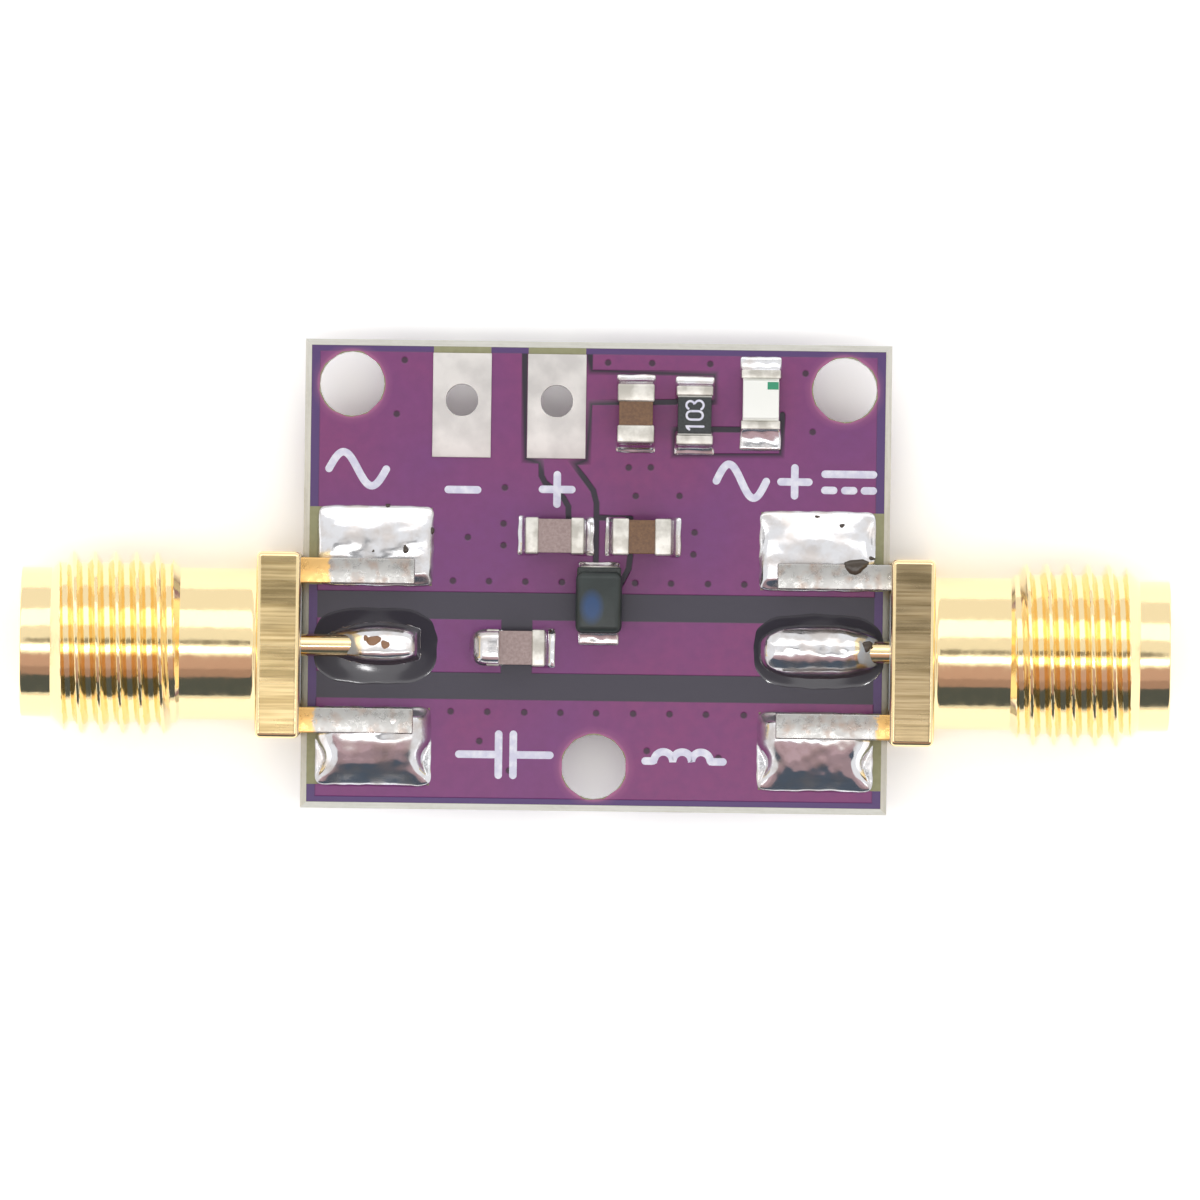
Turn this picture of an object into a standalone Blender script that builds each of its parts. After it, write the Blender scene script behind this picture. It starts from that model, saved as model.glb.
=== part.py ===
# RF bias tee: a small circuit board with an SMA edge jack soldered on each short side.
# One jack takes the RF signal alone, the other the RF signal with the DC feed on it.
# A blocking capacitor breaks the line between them, and an inductor with two filter
# capacitors brings the DC in from two wire pads at the board's long edge.
# Metres, +Z up, +X from the left jack to the right one. The origin is at the middle of the
# whole part, on the plane that it rests on.
import math

import bmesh
import bpy
from mathutils import Matrix, Vector

MM = 0.001
QUARTER_TURN = math.pi / 2
# Smooth shading keeps edges that turn by more than this sharp.
SHARP_EDGE = math.radians(40)

# Clearance kept wherever one piece seats on, fits in or passes through another.
SEAT = 0.02 * MM
# How far a cutter runs past the face that it opens.
OVERRUN = 0.4 * MM

# Circuit board, cut from its panel along V-scored lines.
BOARD_LENGTH = 20.0 * MM
BOARD_WIDTH = 16.0 * MM
BOARD_THICKNESS = 1.6 * MM
SCORE_DEPTH = 0.5 * MM
SCORE_SIDE = 0.22 * MM
MOUNTING_HOLE = 2.2 * MM
MOUNTING_HOLE_FROM_END = 1.6 * MM
MOUNTING_HOLE_FROM_SIDE = 1.52 * MM

# SMA jack, 1/4-36 UNS thread, measured along its axis from the back of the flange.
JACK_LENGTH = 9.525 * MM
JACK_AXIS_Y = -2.45 * MM
FLANGE_SIDE = 6.35 * MM
FLANGE_THICKNESS = 1.5 * MM
FLANGE_EDGE = 0.24 * MM
NECK_LENGTH = 2.6 * MM
NECK_DIAMETER = 5.25 * MM
THREAD_DIAMETER = 6.26 * MM
THREAD_PITCH = 0.7056 * MM
THREAD_END_CHAMFER = 0.18 * MM
PILOT_LENGTH = 1.04 * MM
PILOT_CONE = 0.36 * MM
PILOT_DIAMETER = 5.15 * MM
PILOT_EDGE = 0.08 * MM
SOCKET_DIAMETER = 4.6 * MM
SOCKET_DEPTH = 1.95 * MM
SOCKET_LEAD = 0.12 * MM
JACK_SEGMENTS = 24

# A unified thread's form, as shares of its pitch.
THREAD_DEPTH_SHARE = 0.5413
THREAD_ROOT_SHARE = 0.25
THREAD_FLANK_SHARE = 0.3125
# How far the groove's cutter stands out of the thread's crests, as a share of the pitch.
GROOVE_PROUD_SHARE = 0.05

# The flange's four legs, which straddle the board.
LEG_WIDTH = 0.88 * MM
LEG_HEIGHT = 0.9 * MM
LEG_LENGTH = 3.85 * MM
LEG_SPACING = 5.1 * MM
LEG_EDGE = 0.06 * MM

# Insulator and centre contact.
INSULATOR_DIAMETER = 4.1 * MM
CONTACT_DIAMETER = 1.27 * MM
CONTACT_BORE = 0.93 * MM
CONTACT_BORE_DEPTH = 3.0 * MM
CONTACT_BORE_TIP = 0.25 * MM
CONTACT_EDGE = 0.07 * MM
CONTACT_SHOULDER = 1.0 * MM
SLOT_WIDTH = 0.16 * MM
SLOT_LENGTH = 2.3 * MM
TAIL_DIAMETER = 0.76 * MM
TAIL_LENGTH = 3.85 * MM
TAIL_EDGE = 0.08 * MM
CONTACT_SEGMENTS = 16

# Solder, and how hollow its fillets are.
SOLDER_FILM = 0.05 * MM
SOLDER_LIP = 0.02 * MM
SOLDER_CORNER = 0.14 * MM
SOLDER_HOLLOW = 2.2
SOLDER_LEVELS = 3
SOLDER_SIDE = 0.055 * MM
CORNER_POINTS = 3

# Wire pads for the DC feed, measured from the board's long edge.
DC_PAD_WIDTH = 2.0 * MM
DC_PAD_LENGTH = 3.56 * MM
DC_PAD_FROM_SIDE = 0.43 * MM
DC_PAD_THICKNESS = 0.06 * MM
DC_PAD_CORNER = 0.2 * MM
DC_HOLE = 1.1 * MM
DC_HOLE_WALL = 0.08 * MM
DC_HOLE_FROM_SIDE = 2.0 * MM
DC_PADS = {
    "dc_pad_minus": -4.65 * MM,
    "dc_pad_plus": -1.42 * MM,
}
HOLE_SEGMENTS = 24

# Chip parts of the 0805 size.
CHIP_LENGTH = 2.0 * MM
CHIP_WIDTH = 1.25 * MM
CHIP_BAND = 0.5 * MM
CHIP_PLATING = 0.03 * MM
CHIP_EDGE = 0.08 * MM
CERAMIC_EDGE = 0.05 * MM
THIN_CAPACITOR_HEIGHT = 0.8 * MM
THICK_CAPACITOR_HEIGHT = 1.15 * MM
RESISTOR_HEIGHT = 0.5 * MM
GLAZE_THICKNESS = 0.08 * MM

# LED: a base with wrapped ends, and the block of epoxy moulded over its die.
LED_LENGTH = 2.02 * MM
LED_WIDTH = 1.33 * MM
LED_BASE_HEIGHT = 0.32 * MM
LED_BAND = 0.34 * MM
LED_LENS_HEIGHT = 0.45 * MM
LED_LENS_TAPER = 0.05 * MM

# Inductor: a spool-shaped ferrite core, its winding, and a flat cap of resin on top.
INDUCTOR_LENGTH = 2.3 * MM
INDUCTOR_WIDTH = 1.6 * MM
INDUCTOR_CORE_HEIGHT = 1.1 * MM
INDUCTOR_END = 0.45 * MM
INDUCTOR_TERMINAL_HEIGHT = 0.3 * MM
INDUCTOR_WAIST_WIDTH = 0.9 * MM
INDUCTOR_WAIST_HEIGHT = 0.5 * MM
INDUCTOR_CAP_THICKNESS = 0.25 * MM
WIRE_DIAMETER = 0.12 * MM
WINDING_TURNS = 7
WINDING_POINTS = 8
WINDING_ROUNDNESS = 0.5

# Where each chip's middle stands on the board. The row beside the wire pads is measured
# from the board's long edge.
BLOCKING_CAPACITOR_X = -2.71 * MM
FILTER_CAPACITOR_A_X = -1.43 * MM
FILTER_CAPACITOR_B_X = 1.54 * MM
FILTER_CAPACITORS_Y = 1.38 * MM
INPUT_CAPACITOR_X = 1.28 * MM
INPUT_CAPACITOR_FROM_SIDE = 2.42 * MM
RESISTOR_X = 3.28 * MM
RESISTOR_FROM_SIDE = 2.46 * MM
LED_X = 5.53 * MM
LED_FROM_SIDE = 1.89 * MM
INDUCTOR_X = 0.10 * MM
INDUCTOR_Y = -0.77 * MM

# How far solder reaches past the end of a chip.
SOLDER_REACH = 0.35 * MM
SHORT_REACH = 0.27 * MM
LED_LOWER_REACH = 0.74 * MM
LED_UPPER_REACH = 0.46 * MM
INDUCTOR_REACH = 0.28 * MM

# Solder on the legs. It covers a land that lies mostly on the leg's outer side, away from
# the jack's axis. Its height differs between the joints on top, one of which is swollen.
LEG_SOLDER_FROM_FLANGE = 0.52 * MM
LEG_SOLDER_LENGTH = 3.95 * MM
LEG_SOLDER_OUTER_SPREAD = 1.8 * MM
LEG_SOLDER_INNER_SPREAD = 0.08 * MM
FLAT_SOLDER_HEIGHT = 0.35 * MM
DEEP_SOLDER_HEIGHT = 0.7 * MM
SWOLLEN_SOLDER_HEIGHT = 0.85 * MM

# Solder on the centre contacts' tails.
TAIL_SOLDER_WIDTH = 1.5 * MM
LEFT_TAIL_SOLDER_PAST_TAIL = 0.25 * MM
RIGHT_TAIL_SOLDER_PAST_TAIL = 0.48 * MM
LEFT_TAIL_SOLDER_LENGTH = 3.2 * MM
LEFT_TAIL_SOLDER_HEIGHT = 0.6 * MM
RIGHT_TAIL_SOLDER_LENGTH = 3.9 * MM
RIGHT_TAIL_SOLDER_HEIGHT = 1.0 * MM
TAIL_SOLDER_CREST = 0.44 * MM

# Places worked out from the sizes above.
JACK_AXIS_Z = FLANGE_SIDE / 2
BOARD_TOP = JACK_AXIS_Z - TAIL_DIAMETER / 2 - SEAT
BOARD_BOTTOM = BOARD_TOP - BOARD_THICKNESS
FLANGE_BACK_X = BOARD_LENGTH / 2 + SEAT
SOCKET_FLOOR = JACK_LENGTH - SOCKET_DEPTH
CHIP_BASE_Z = BOARD_TOP + SEAT + SOLDER_FILM + SEAT


def linear(hex_colour):
    """The linear colour of an sRGB hex code."""
    channels = [int(hex_colour[i : i + 2], 16) / 255 for i in (0, 2, 4)]
    return [((c + 0.055) / 1.055) ** 2.4 if c > 0.04045 else c / 12.92 for c in channels] + [1.0]


def finish(name, hex_colour, metallic, roughness):
    """A Principled material."""
    material = bpy.data.materials.new(name)
    material.use_nodes = True
    shader = material.node_tree.nodes["Principled BSDF"]
    shader.inputs["Base Color"].default_value = linear(hex_colour)
    shader.inputs["Metallic"].default_value = metallic
    shader.inputs["Roughness"].default_value = roughness
    material.diffuse_color = linear(hex_colour)
    return material


def new_collection(name):
    collection = bpy.data.collections.new(name)
    bpy.context.scene.collection.children.link(collection)
    return collection


def add_object(name, data, carrier=None, location=(0, 0, 0), turned=(0, 0, 0)):
    """An object in the part's collection, placed in its carrier's frame."""
    thing = bpy.data.objects.new(name, data)
    PARTS.objects.link(thing)
    thing.parent = carrier
    thing.location = location
    thing.rotation_euler = turned
    return thing


def as_tool(thing):
    """Puts a cutter, or a shape that a union takes in, away with the other tools."""
    PARTS.objects.unlink(thing)
    TOOLS.objects.link(thing)
    thing.hide_render = True
    thing.display_type = "WIRE"
    return thing


def combine(target, tool, operation):
    """Cuts the tool out of the target, or joins it on."""
    modifier = target.modifiers.new(tool.name, "BOOLEAN")
    modifier.operation = operation
    modifier.solver = "EXACT"
    modifier.object = as_tool(tool)


def mesh_from(name, bm):
    mesh = bpy.data.meshes.new(name)
    bmesh.ops.recalc_face_normals(bm, faces=bm.faces)
    bm.to_mesh(mesh)
    bm.free()
    return mesh


def box_mesh(name, low, high):
    """A box between two corners."""
    bm = bmesh.new()
    bmesh.ops.create_cube(bm, size=1.0)
    low = Vector(low)
    high = Vector(high)
    bmesh.ops.scale(bm, vec=high - low, verts=bm.verts)
    bmesh.ops.translate(bm, vec=(low + high) / 2, verts=bm.verts)
    return mesh_from(name, bm)


def cylinder_mesh(name, radius, low, high, segments):
    """An upright cylinder from one height to another, with a corner at +X."""
    bm = bmesh.new()
    bmesh.ops.create_cone(
        bm, cap_ends=True, segments=segments, radius1=radius, radius2=radius, depth=high - low
    )
    bmesh.ops.rotate(bm, matrix=Matrix.Rotation(-QUARTER_TURN, 3, "Z"), verts=bm.verts)
    bmesh.ops.translate(bm, vec=(0, 0, (low + high) / 2), verts=bm.verts)
    return mesh_from(name, bm)


def loft_mesh(name, rings):
    """Rings of equally many points, each joined to the next, with the two ends closed."""
    bm = bmesh.new()
    rows = [[bm.verts.new(point) for point in ring] for ring in rings]
    count = len(rows[0])
    for lower, upper in zip(rows, rows[1:]):
        for i in range(count):
            j = (i + 1) % count
            bm.faces.new((lower[i], lower[j], upper[j], upper[i]))
    bm.faces.new(reversed(rows[0]))
    bm.faces.new(rows[-1])
    return mesh_from(name, bm)


def rounded_ring(low, high, corner, height):
    """The outline of a rectangle with round corners, from one quarter arc to the next."""
    points = []
    for quarter in range(4):
        x = high[0] - corner if quarter in (0, 3) else low[0] + corner
        y = high[1] - corner if quarter in (0, 1) else low[1] + corner
        for k in range(CORNER_POINTS):
            angle = (quarter + k / (CORNER_POINTS - 1)) * QUARTER_TURN
            points.append(Vector((x + corner * math.cos(angle), y + corner * math.sin(angle), height)))
    return points


def turned(name, profile, segments, closed=False):
    """A profile of (radius, height) points turned about Z by a Screw modifier."""
    mesh = bpy.data.meshes.new(name)
    edges = [(i, i + 1) for i in range(len(profile) - 1)]
    if closed:
        edges.append((len(profile) - 1, 0))
    mesh.from_pydata([(radius, 0, height) for radius, height in profile], edges, [])
    thing = add_object(name, mesh)
    screw = thing.modifiers.new("turning", "SCREW")
    screw.steps = segments
    screw.render_steps = segments
    screw.use_merge_vertices = True
    screw.merge_threshold = SEAT / 100
    return thing


def settled_mesh(thing, name):
    """The evaluated mesh of a construction object, which is then removed."""
    depsgraph = bpy.context.evaluated_depsgraph_get()
    mesh = bpy.data.meshes.new_from_object(thing.evaluated_get(depsgraph))
    mesh.name = name
    bpy.data.objects.remove(thing)
    return mesh


def soften(thing, width, segments=2):
    bevel = thing.modifiers.new("edges", "BEVEL")
    bevel.width = width
    bevel.segments = segments
    return thing


def shade_round(mesh, material):
    """The mesh in its material, smooth except at its sharp edges."""
    mesh.shade_smooth()
    mesh.set_sharp_from_angle(angle=SHARP_EDGE)
    mesh.materials.clear()
    mesh.materials.append(material)
    return mesh


def groove_mesh():
    """The thread's V groove: its section carried along a helix, longer than the thread."""
    depth = THREAD_DEPTH_SHARE * THREAD_PITCH
    clear = GROOVE_PROUD_SHARE * THREAD_PITCH
    outer = THREAD_DIAMETER / 2 + clear
    inner = THREAD_DIAMETER / 2 - depth
    half_root = THREAD_ROOT_SHARE * THREAD_PITCH / 2
    half_mouth = half_root + THREAD_FLANK_SHARE * THREAD_PITCH * (1 + clear / depth)
    start = FLANGE_THICKNESS + NECK_LENGTH - THREAD_PITCH
    section = [(outer, half_mouth), (outer, -half_mouth), (inner, -half_root), (inner, half_root)]
    helix = turned("groove_helix", [(r, start + h) for r, h in section], JACK_SEGMENTS, closed=True)
    screw = helix.modifiers["turning"]
    screw.screw_offset = THREAD_PITCH
    screw.iterations = math.ceil((JACK_LENGTH - PILOT_LENGTH - start) / THREAD_PITCH) + 1
    screw.use_merge_vertices = False
    mesh = settled_mesh(helix, "thread_groove")
    bm = bmesh.new()
    bm.from_mesh(mesh)
    bmesh.ops.holes_fill(bm, edges=[edge for edge in bm.edges if edge.is_boundary])
    bmesh.ops.recalc_face_normals(bm, faces=bm.faces)
    bm.to_mesh(mesh)
    bm.free()
    return mesh


def leg_corners(side, level):
    """Two corners of a leg in the jack's frame, where +X is up and +Z points out of the jack."""
    middle = side * LEG_SPACING / 2
    if level > 0:
        low_x = BOARD_TOP + SEAT - JACK_AXIS_Z
    else:
        low_x = BOARD_BOTTOM - SEAT - LEG_HEIGHT - JACK_AXIS_Z
    low = Vector((low_x, middle - LEG_WIDTH / 2, -LEG_LENGTH))
    high = Vector((low_x + LEG_HEIGHT, middle + LEG_WIDTH / 2, FLANGE_THICKNESS / 2))
    return low, high


def jack_body_mesh():
    """Flange, legs and threaded barrel of one piece of brass, bored through."""
    half = FLANGE_SIDE / 2
    body = add_object("jack_blank", box_mesh("flange", (-half, -half, 0), (half, half, FLANGE_THICKNESS)))
    soften(body, FLANGE_EDGE, 2)
    thread_start = FLANGE_THICKNESS + NECK_LENGTH
    thread_end = JACK_LENGTH - PILOT_LENGTH - PILOT_CONE
    outer = THREAD_DIAMETER / 2
    neck = NECK_DIAMETER / 2
    pilot = PILOT_DIAMETER / 2
    root = outer - THREAD_DEPTH_SHARE * THREAD_PITCH
    profile = [
        (0, JACK_LENGTH),
        (pilot - PILOT_EDGE, JACK_LENGTH),
        (pilot, JACK_LENGTH - PILOT_EDGE),
        (pilot, JACK_LENGTH - PILOT_LENGTH),
        (outer, thread_end),
        (outer, thread_start + THREAD_END_CHAMFER),
        (root, thread_start),
        (neck, thread_start),
        (neck, FLANGE_THICKNESS / 2),
        (0, FLANGE_THICKNESS / 2),
    ]
    blank = turned("barrel_blank", profile, JACK_SEGMENTS)
    groove = add_object("thread_groove", groove_mesh())
    combine(blank, groove, "DIFFERENCE")
    barrel = add_object("barrel", settled_mesh(blank, "barrel"))
    combine(body, barrel, "UNION")
    for side in (-1, 1):
        for level in (-1, 1):
            low, high = leg_corners(side, level)
            leg = add_object(f"leg_{side}_{level}", box_mesh("leg", low, high))
            soften(leg, LEG_EDGE, 1)
            combine(body, leg, "UNION")
    bore = INSULATOR_DIAMETER / 2
    socket = SOCKET_DIAMETER / 2
    cutter = turned(
        "bore",
        [
            (0, JACK_LENGTH + OVERRUN),
            (socket + SOCKET_LEAD, JACK_LENGTH + OVERRUN),
            (socket + SOCKET_LEAD, JACK_LENGTH),
            (socket, JACK_LENGTH - SOCKET_LEAD),
            (socket, SOCKET_FLOOR),
            (bore, SOCKET_FLOOR),
            (bore, -OVERRUN),
            (0, -OVERRUN),
        ],
        JACK_SEGMENTS,
    )
    combine(body, cutter, "DIFFERENCE")
    return shade_round(settled_mesh(body, "jack_body"), GOLD_PLATED_BRASS)


def insulator_mesh():
    """A turned sleeve that fills the bore, stepped where the contact's tail begins."""
    outer = INSULATOR_DIAMETER / 2 - SEAT
    contact = CONTACT_DIAMETER / 2 + SEAT
    tail = TAIL_DIAMETER / 2 + SEAT
    profile = [
        (outer, SOCKET_FLOOR),
        (outer, 0),
        (tail, 0),
        (tail, CONTACT_SHOULDER),
        (contact, CONTACT_SHOULDER),
        (contact, SOCKET_FLOOR),
    ]
    sleeve = turned("sleeve", profile, JACK_SEGMENTS, closed=True)
    return shade_round(settled_mesh(sleeve, "insulator"), FLUOROPOLYMER)


def centre_contact_mesh():
    """A turned pin with a bored, slotted socket in front and a solder tail behind."""
    outer = CONTACT_DIAMETER / 2
    bore = CONTACT_BORE / 2
    tail = TAIL_DIAMETER / 2
    front = SOCKET_FLOOR
    floor = front - CONTACT_BORE_DEPTH
    shoulder = CONTACT_SHOULDER + SEAT
    profile = [
        (0, floor - CONTACT_BORE_TIP),
        (bore, floor),
        (bore, front - CONTACT_EDGE),
        (bore + CONTACT_EDGE, front),
        (outer - CONTACT_EDGE, front),
        (outer, front - CONTACT_EDGE),
        (outer, shoulder),
        (tail, shoulder),
        (tail, TAIL_EDGE - TAIL_LENGTH),
        (tail - TAIL_EDGE, -TAIL_LENGTH),
        (0, -TAIL_LENGTH),
    ]
    pin = turned("pin", profile, CONTACT_SEGMENTS)
    reach = outer + OVERRUN
    half = SLOT_WIDTH / 2
    for number, (x, y) in enumerate(((reach, half), (half, reach))):
        low = (-x, -y, front - SLOT_LENGTH)
        slot = add_object(f"slot_{number}", box_mesh("slot", low, (x, y, front + OVERRUN)))
        combine(pin, slot, "DIFFERENCE")
    return shade_round(settled_mesh(pin, "centre_contact"), GOLD_PLATED_CONTACT)


def solder_mesh(name, pad_low, pad_high, core_low, core_high, height, domed=False):
    """Solder between the outline of its pad and the outline of what it holds.

    The outline shrinks from pad to core as the height grows: fast at first for a hollow
    fillet, and slowly at first for a domed one."""
    pad = rounded_ring(pad_low, pad_high, SOLDER_CORNER, 0)
    core = rounded_ring(core_low, core_high, SOLDER_LIP, 0)
    rings = [pad]
    for level in range(SOLDER_LEVELS + 1):
        rise = level / SOLDER_LEVELS
        if domed:
            spread = math.sqrt(1 - rise**2)
        else:
            spread = (1 - rise) ** SOLDER_HOLLOW
        z = SOLDER_FILM + (height - SOLDER_FILM) * rise
        ring = [inner + (outer - inner) * spread for outer, inner in zip(pad, core)]
        rings.append([Vector((point.x, point.y, z)) for point in ring])
    return loft_mesh(name, rings)


def add_jack(side_name, facing, meshes):
    """A jack's three pieces on an empty whose +Z points out along its axis and +X up."""
    axis = bpy.data.objects.new(f"{side_name}_jack_axis", None)
    PARTS.objects.link(axis)
    axis.location = (facing * FLANGE_BACK_X, JACK_AXIS_Y, JACK_AXIS_Z)
    axis.rotation_euler = (0, -QUARTER_TURN, math.pi if facing > 0 else 0)
    for piece, mesh in meshes.items():
        add_object(f"{side_name}_{piece}", mesh, axis)


def add_leg_solder(side_name, facing, side, level, height, domed=False):
    """Solder beside one leg, standing on the board's top or hanging under its bottom.

    Its frame's +X points to the flange, and it is turned over under the board."""
    half_width = LEG_WIDTH / 2
    near = LEG_SOLDER_FROM_FLANGE
    far = near + LEG_SOLDER_LENGTH
    lip = half_width + SEAT + SOLDER_LIP
    tip = LEG_LENGTH + SEAT + SOLDER_LIP
    spans = (half_width + LEG_SOLDER_INNER_SPREAD, half_width + LEG_SOLDER_OUTER_SPREAD)
    if facing * side * level > 0:
        low_y, high_y = -spans[0], spans[1]
    else:
        low_y, high_y = -spans[1], spans[0]
    place = "top" if level > 0 else "bottom"
    row = "rear" if side > 0 else "front"
    name = f"{side_name}_{row}_{place}_leg_solder"
    mesh = solder_mesh(
        name, (-far, low_y), (-near, high_y), (-tip, -lip), (-near - SOLDER_LIP, lip), height, domed
    )
    z = BOARD_TOP + SEAT if level > 0 else BOARD_BOTTOM - SEAT
    location = (facing * FLANGE_BACK_X, JACK_AXIS_Y + side * LEG_SPACING / 2, z)
    roll = 0 if level > 0 else math.pi
    turn = (roll, 0, math.pi if facing < 0 else 0)
    solder = add_object(name, shade_round(mesh, SOLDER), None, location, turn)
    low = (-LEG_LENGTH - SEAT, -half_width - SEAT, -SEAT)
    high = (OVERRUN, half_width + SEAT, LEG_HEIGHT + SEAT)
    leg = box_mesh("leg_space", low, high)
    combine(solder, add_object(f"{name}_leg_space", leg, None, location, turn), "DIFFERENCE")


def add_tail_solder(side_name, facing, past_tail, length, height, domed):
    """Solder along a contact's tail, from past its tip towards the flange."""
    tail = TAIL_DIAMETER / 2
    tip = TAIL_LENGTH + past_tail
    half = TAIL_SOLDER_WIDTH / 2
    near = tip - length
    core = tail + SEAT + SOLDER_LIP
    name = f"{side_name}_tail_solder"
    if domed:
        core = TAIL_SOLDER_CREST / 2
    inset = past_tail / 2
    mesh = solder_mesh(
        name, (-tip, -half), (-near, half), (inset - tip, -core), (-near - inset, core), height, domed
    )
    location = (facing * FLANGE_BACK_X, JACK_AXIS_Y, BOARD_TOP + SEAT)
    turn = (0, 0, math.pi if facing < 0 else 0)
    solder = add_object(name, shade_round(mesh, SOLDER), None, location, turn)
    space = cylinder_mesh("tail_space", tail + SEAT, -TAIL_LENGTH - SEAT, OVERRUN, CONTACT_SEGMENTS)
    axis_location = (location[0], location[1], JACK_AXIS_Z)
    along = (0, QUARTER_TURN, turn[2])
    combine(solder, add_object(f"{name}_space", space, None, axis_location, along), "DIFFERENCE")


def add_chip_frame(name, x, y, upright):
    """An empty at a chip's base, its +X along the chip: to the right, or up the board."""
    frame = bpy.data.objects.new(f"{name}_frame", None)
    PARTS.objects.link(frame)
    frame.location = (x, y, CHIP_BASE_Z)
    frame.rotation_euler = (0, 0, QUARTER_TURN if upright else 0)
    return frame


def add_block(name, low, high, edge, material, carrier, segments=1):
    """A box with softened edges."""
    block = add_object(name, shade_round(box_mesh(name, low, high), material), carrier)
    return soften(block, edge, segments)


def add_end_cap(name, end, outer, band, inner, carrier):
    """A plated end: a block round the last stretch of a chip, hollowed for its body.

    outer and inner are each (half length, half width, low, high)."""
    reach, half_width, low, high = outer
    spans = sorted((end * reach, end * (reach - band)))
    cap = add_block(
        name, (spans[0], -half_width, low), (spans[1], half_width, high), CHIP_EDGE, TINNED_END, carrier
    )
    in_reach, in_half_width, in_low, in_high = inner
    hollow = sorted((end * in_reach, end * (reach - band - OVERRUN)))
    space = box_mesh("space", (hollow[0], -in_half_width, in_low), (hollow[1], in_half_width, in_high))
    hollow_space = soften(add_object(f"{name}_space", space, carrier), CERAMIC_EDGE, 1)
    combine(cap, hollow_space, "DIFFERENCE")


def end_solder_section(y, shrink, inner, face, reach, height):
    """One upright section of a chip's end fillet: a film under the end, then a hollow rise.

    x runs away from the chip, from inner under it, past its end face."""
    film = SOLDER_FILM
    points = [Vector((inner, y, 0)), Vector((face + reach * shrink, y, 0))]
    for level in range(SOLDER_LEVELS + 1):
        rise = level / SOLDER_LEVELS
        spread = (1 - rise) ** SOLDER_HOLLOW
        x = face + SOLDER_LIP + (reach * shrink - SOLDER_LIP) * spread
        points.append(Vector((x, y, film + (height * shrink - film) * rise)))
    points += [Vector((face, y, points[-1].z)), Vector((face, y, film)), Vector((inner, y, film))]
    return points


def add_end_solder(name, end, half_length, half_width, band, height, reach, carrier):
    """Solder under one end of a chip and up its face, rounded off at the pad's corners."""
    base = SOLDER_FILM + SEAT
    side = half_width + SOLDER_SIDE
    shrunk = 1 - SOLDER_CORNER / reach
    face = half_length + SEAT
    inner = half_length - band
    stations = ((-side, shrunk), (SOLDER_CORNER - side, 1), (side - SOLDER_CORNER, 1), (side, shrunk))
    sections = [
        end_solder_section(y, shrink, inner, face, reach - SEAT, height + base) for y, shrink in stations
    ]
    turn = (0, 0, 0 if end > 0 else math.pi)
    add_object(name, shade_round(loft_mesh(name, sections), SOLDER), carrier, (0, 0, -base), turn)


def add_capacitor(name, x, y, upright, height, ceramic, reaches):
    """A ceramic block with a plated cap on each end, soldered down."""
    frame = add_chip_frame(name, x, y, upright)
    wall = CHIP_PLATING + SEAT
    half_length = CHIP_LENGTH / 2
    half_width = CHIP_WIDTH / 2
    low = (wall - half_length, wall - half_width, wall)
    high = (half_length - wall, half_width - wall, height - wall)
    add_block(f"{name}_ceramic", low, high, CERAMIC_EDGE, ceramic, frame)
    outer = (half_length, half_width, 0, height)
    inner = (half_length - CHIP_PLATING, half_width - CHIP_PLATING, CHIP_PLATING, height - CHIP_PLATING)
    ends = end_names(upright)
    for end in (-1, 1):
        add_end_cap(f"{name}_{ends[end]}_terminal", end, outer, CHIP_BAND, inner, frame)
        solder = f"{name}_{ends[end]}_solder"
        add_end_solder(solder, end, half_length, half_width, CHIP_BAND, height / 2, reaches[end], frame)


def end_names(upright):
    return {-1: "lower", 1: "upper"} if upright else {-1: "left", 1: "right"}


def add_resistor(name, x, y):
    """An alumina plate with a glazed top between two plated ends."""
    frame = add_chip_frame(name, x, y, True)
    wall = CHIP_PLATING + SEAT
    half_length = CHIP_LENGTH / 2
    half_width = CHIP_WIDTH / 2
    low = (wall - half_length, wall - half_width, wall)
    high = (half_length - wall, half_width - wall, RESISTOR_HEIGHT - wall)
    add_block(f"{name}_alumina", low, high, CERAMIC_EDGE / 2, ALUMINA, frame)
    glaze_reach = half_length - CHIP_BAND - SEAT
    glaze_low = (-glaze_reach, -high[1], high[2] + SEAT)
    glaze_high = (glaze_reach, high[1], high[2] + SEAT + GLAZE_THICKNESS)
    add_block(f"{name}_glaze", glaze_low, glaze_high, GLAZE_THICKNESS / 2, BLACK_GLAZE, frame)
    outer = (half_length, half_width, 0, RESISTOR_HEIGHT)
    rim = RESISTOR_HEIGHT - CHIP_PLATING
    inner = (half_length - CHIP_PLATING, half_width - CHIP_PLATING, CHIP_PLATING, rim)
    for end, word in end_names(True).items():
        add_end_cap(f"{name}_{word}_terminal", end, outer, CHIP_BAND, inner, frame)
        solder = f"{name}_{word}_solder"
        height = RESISTOR_HEIGHT / 2
        add_end_solder(solder, end, half_length, half_width, CHIP_BAND, height, SOLDER_REACH, frame)


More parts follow.
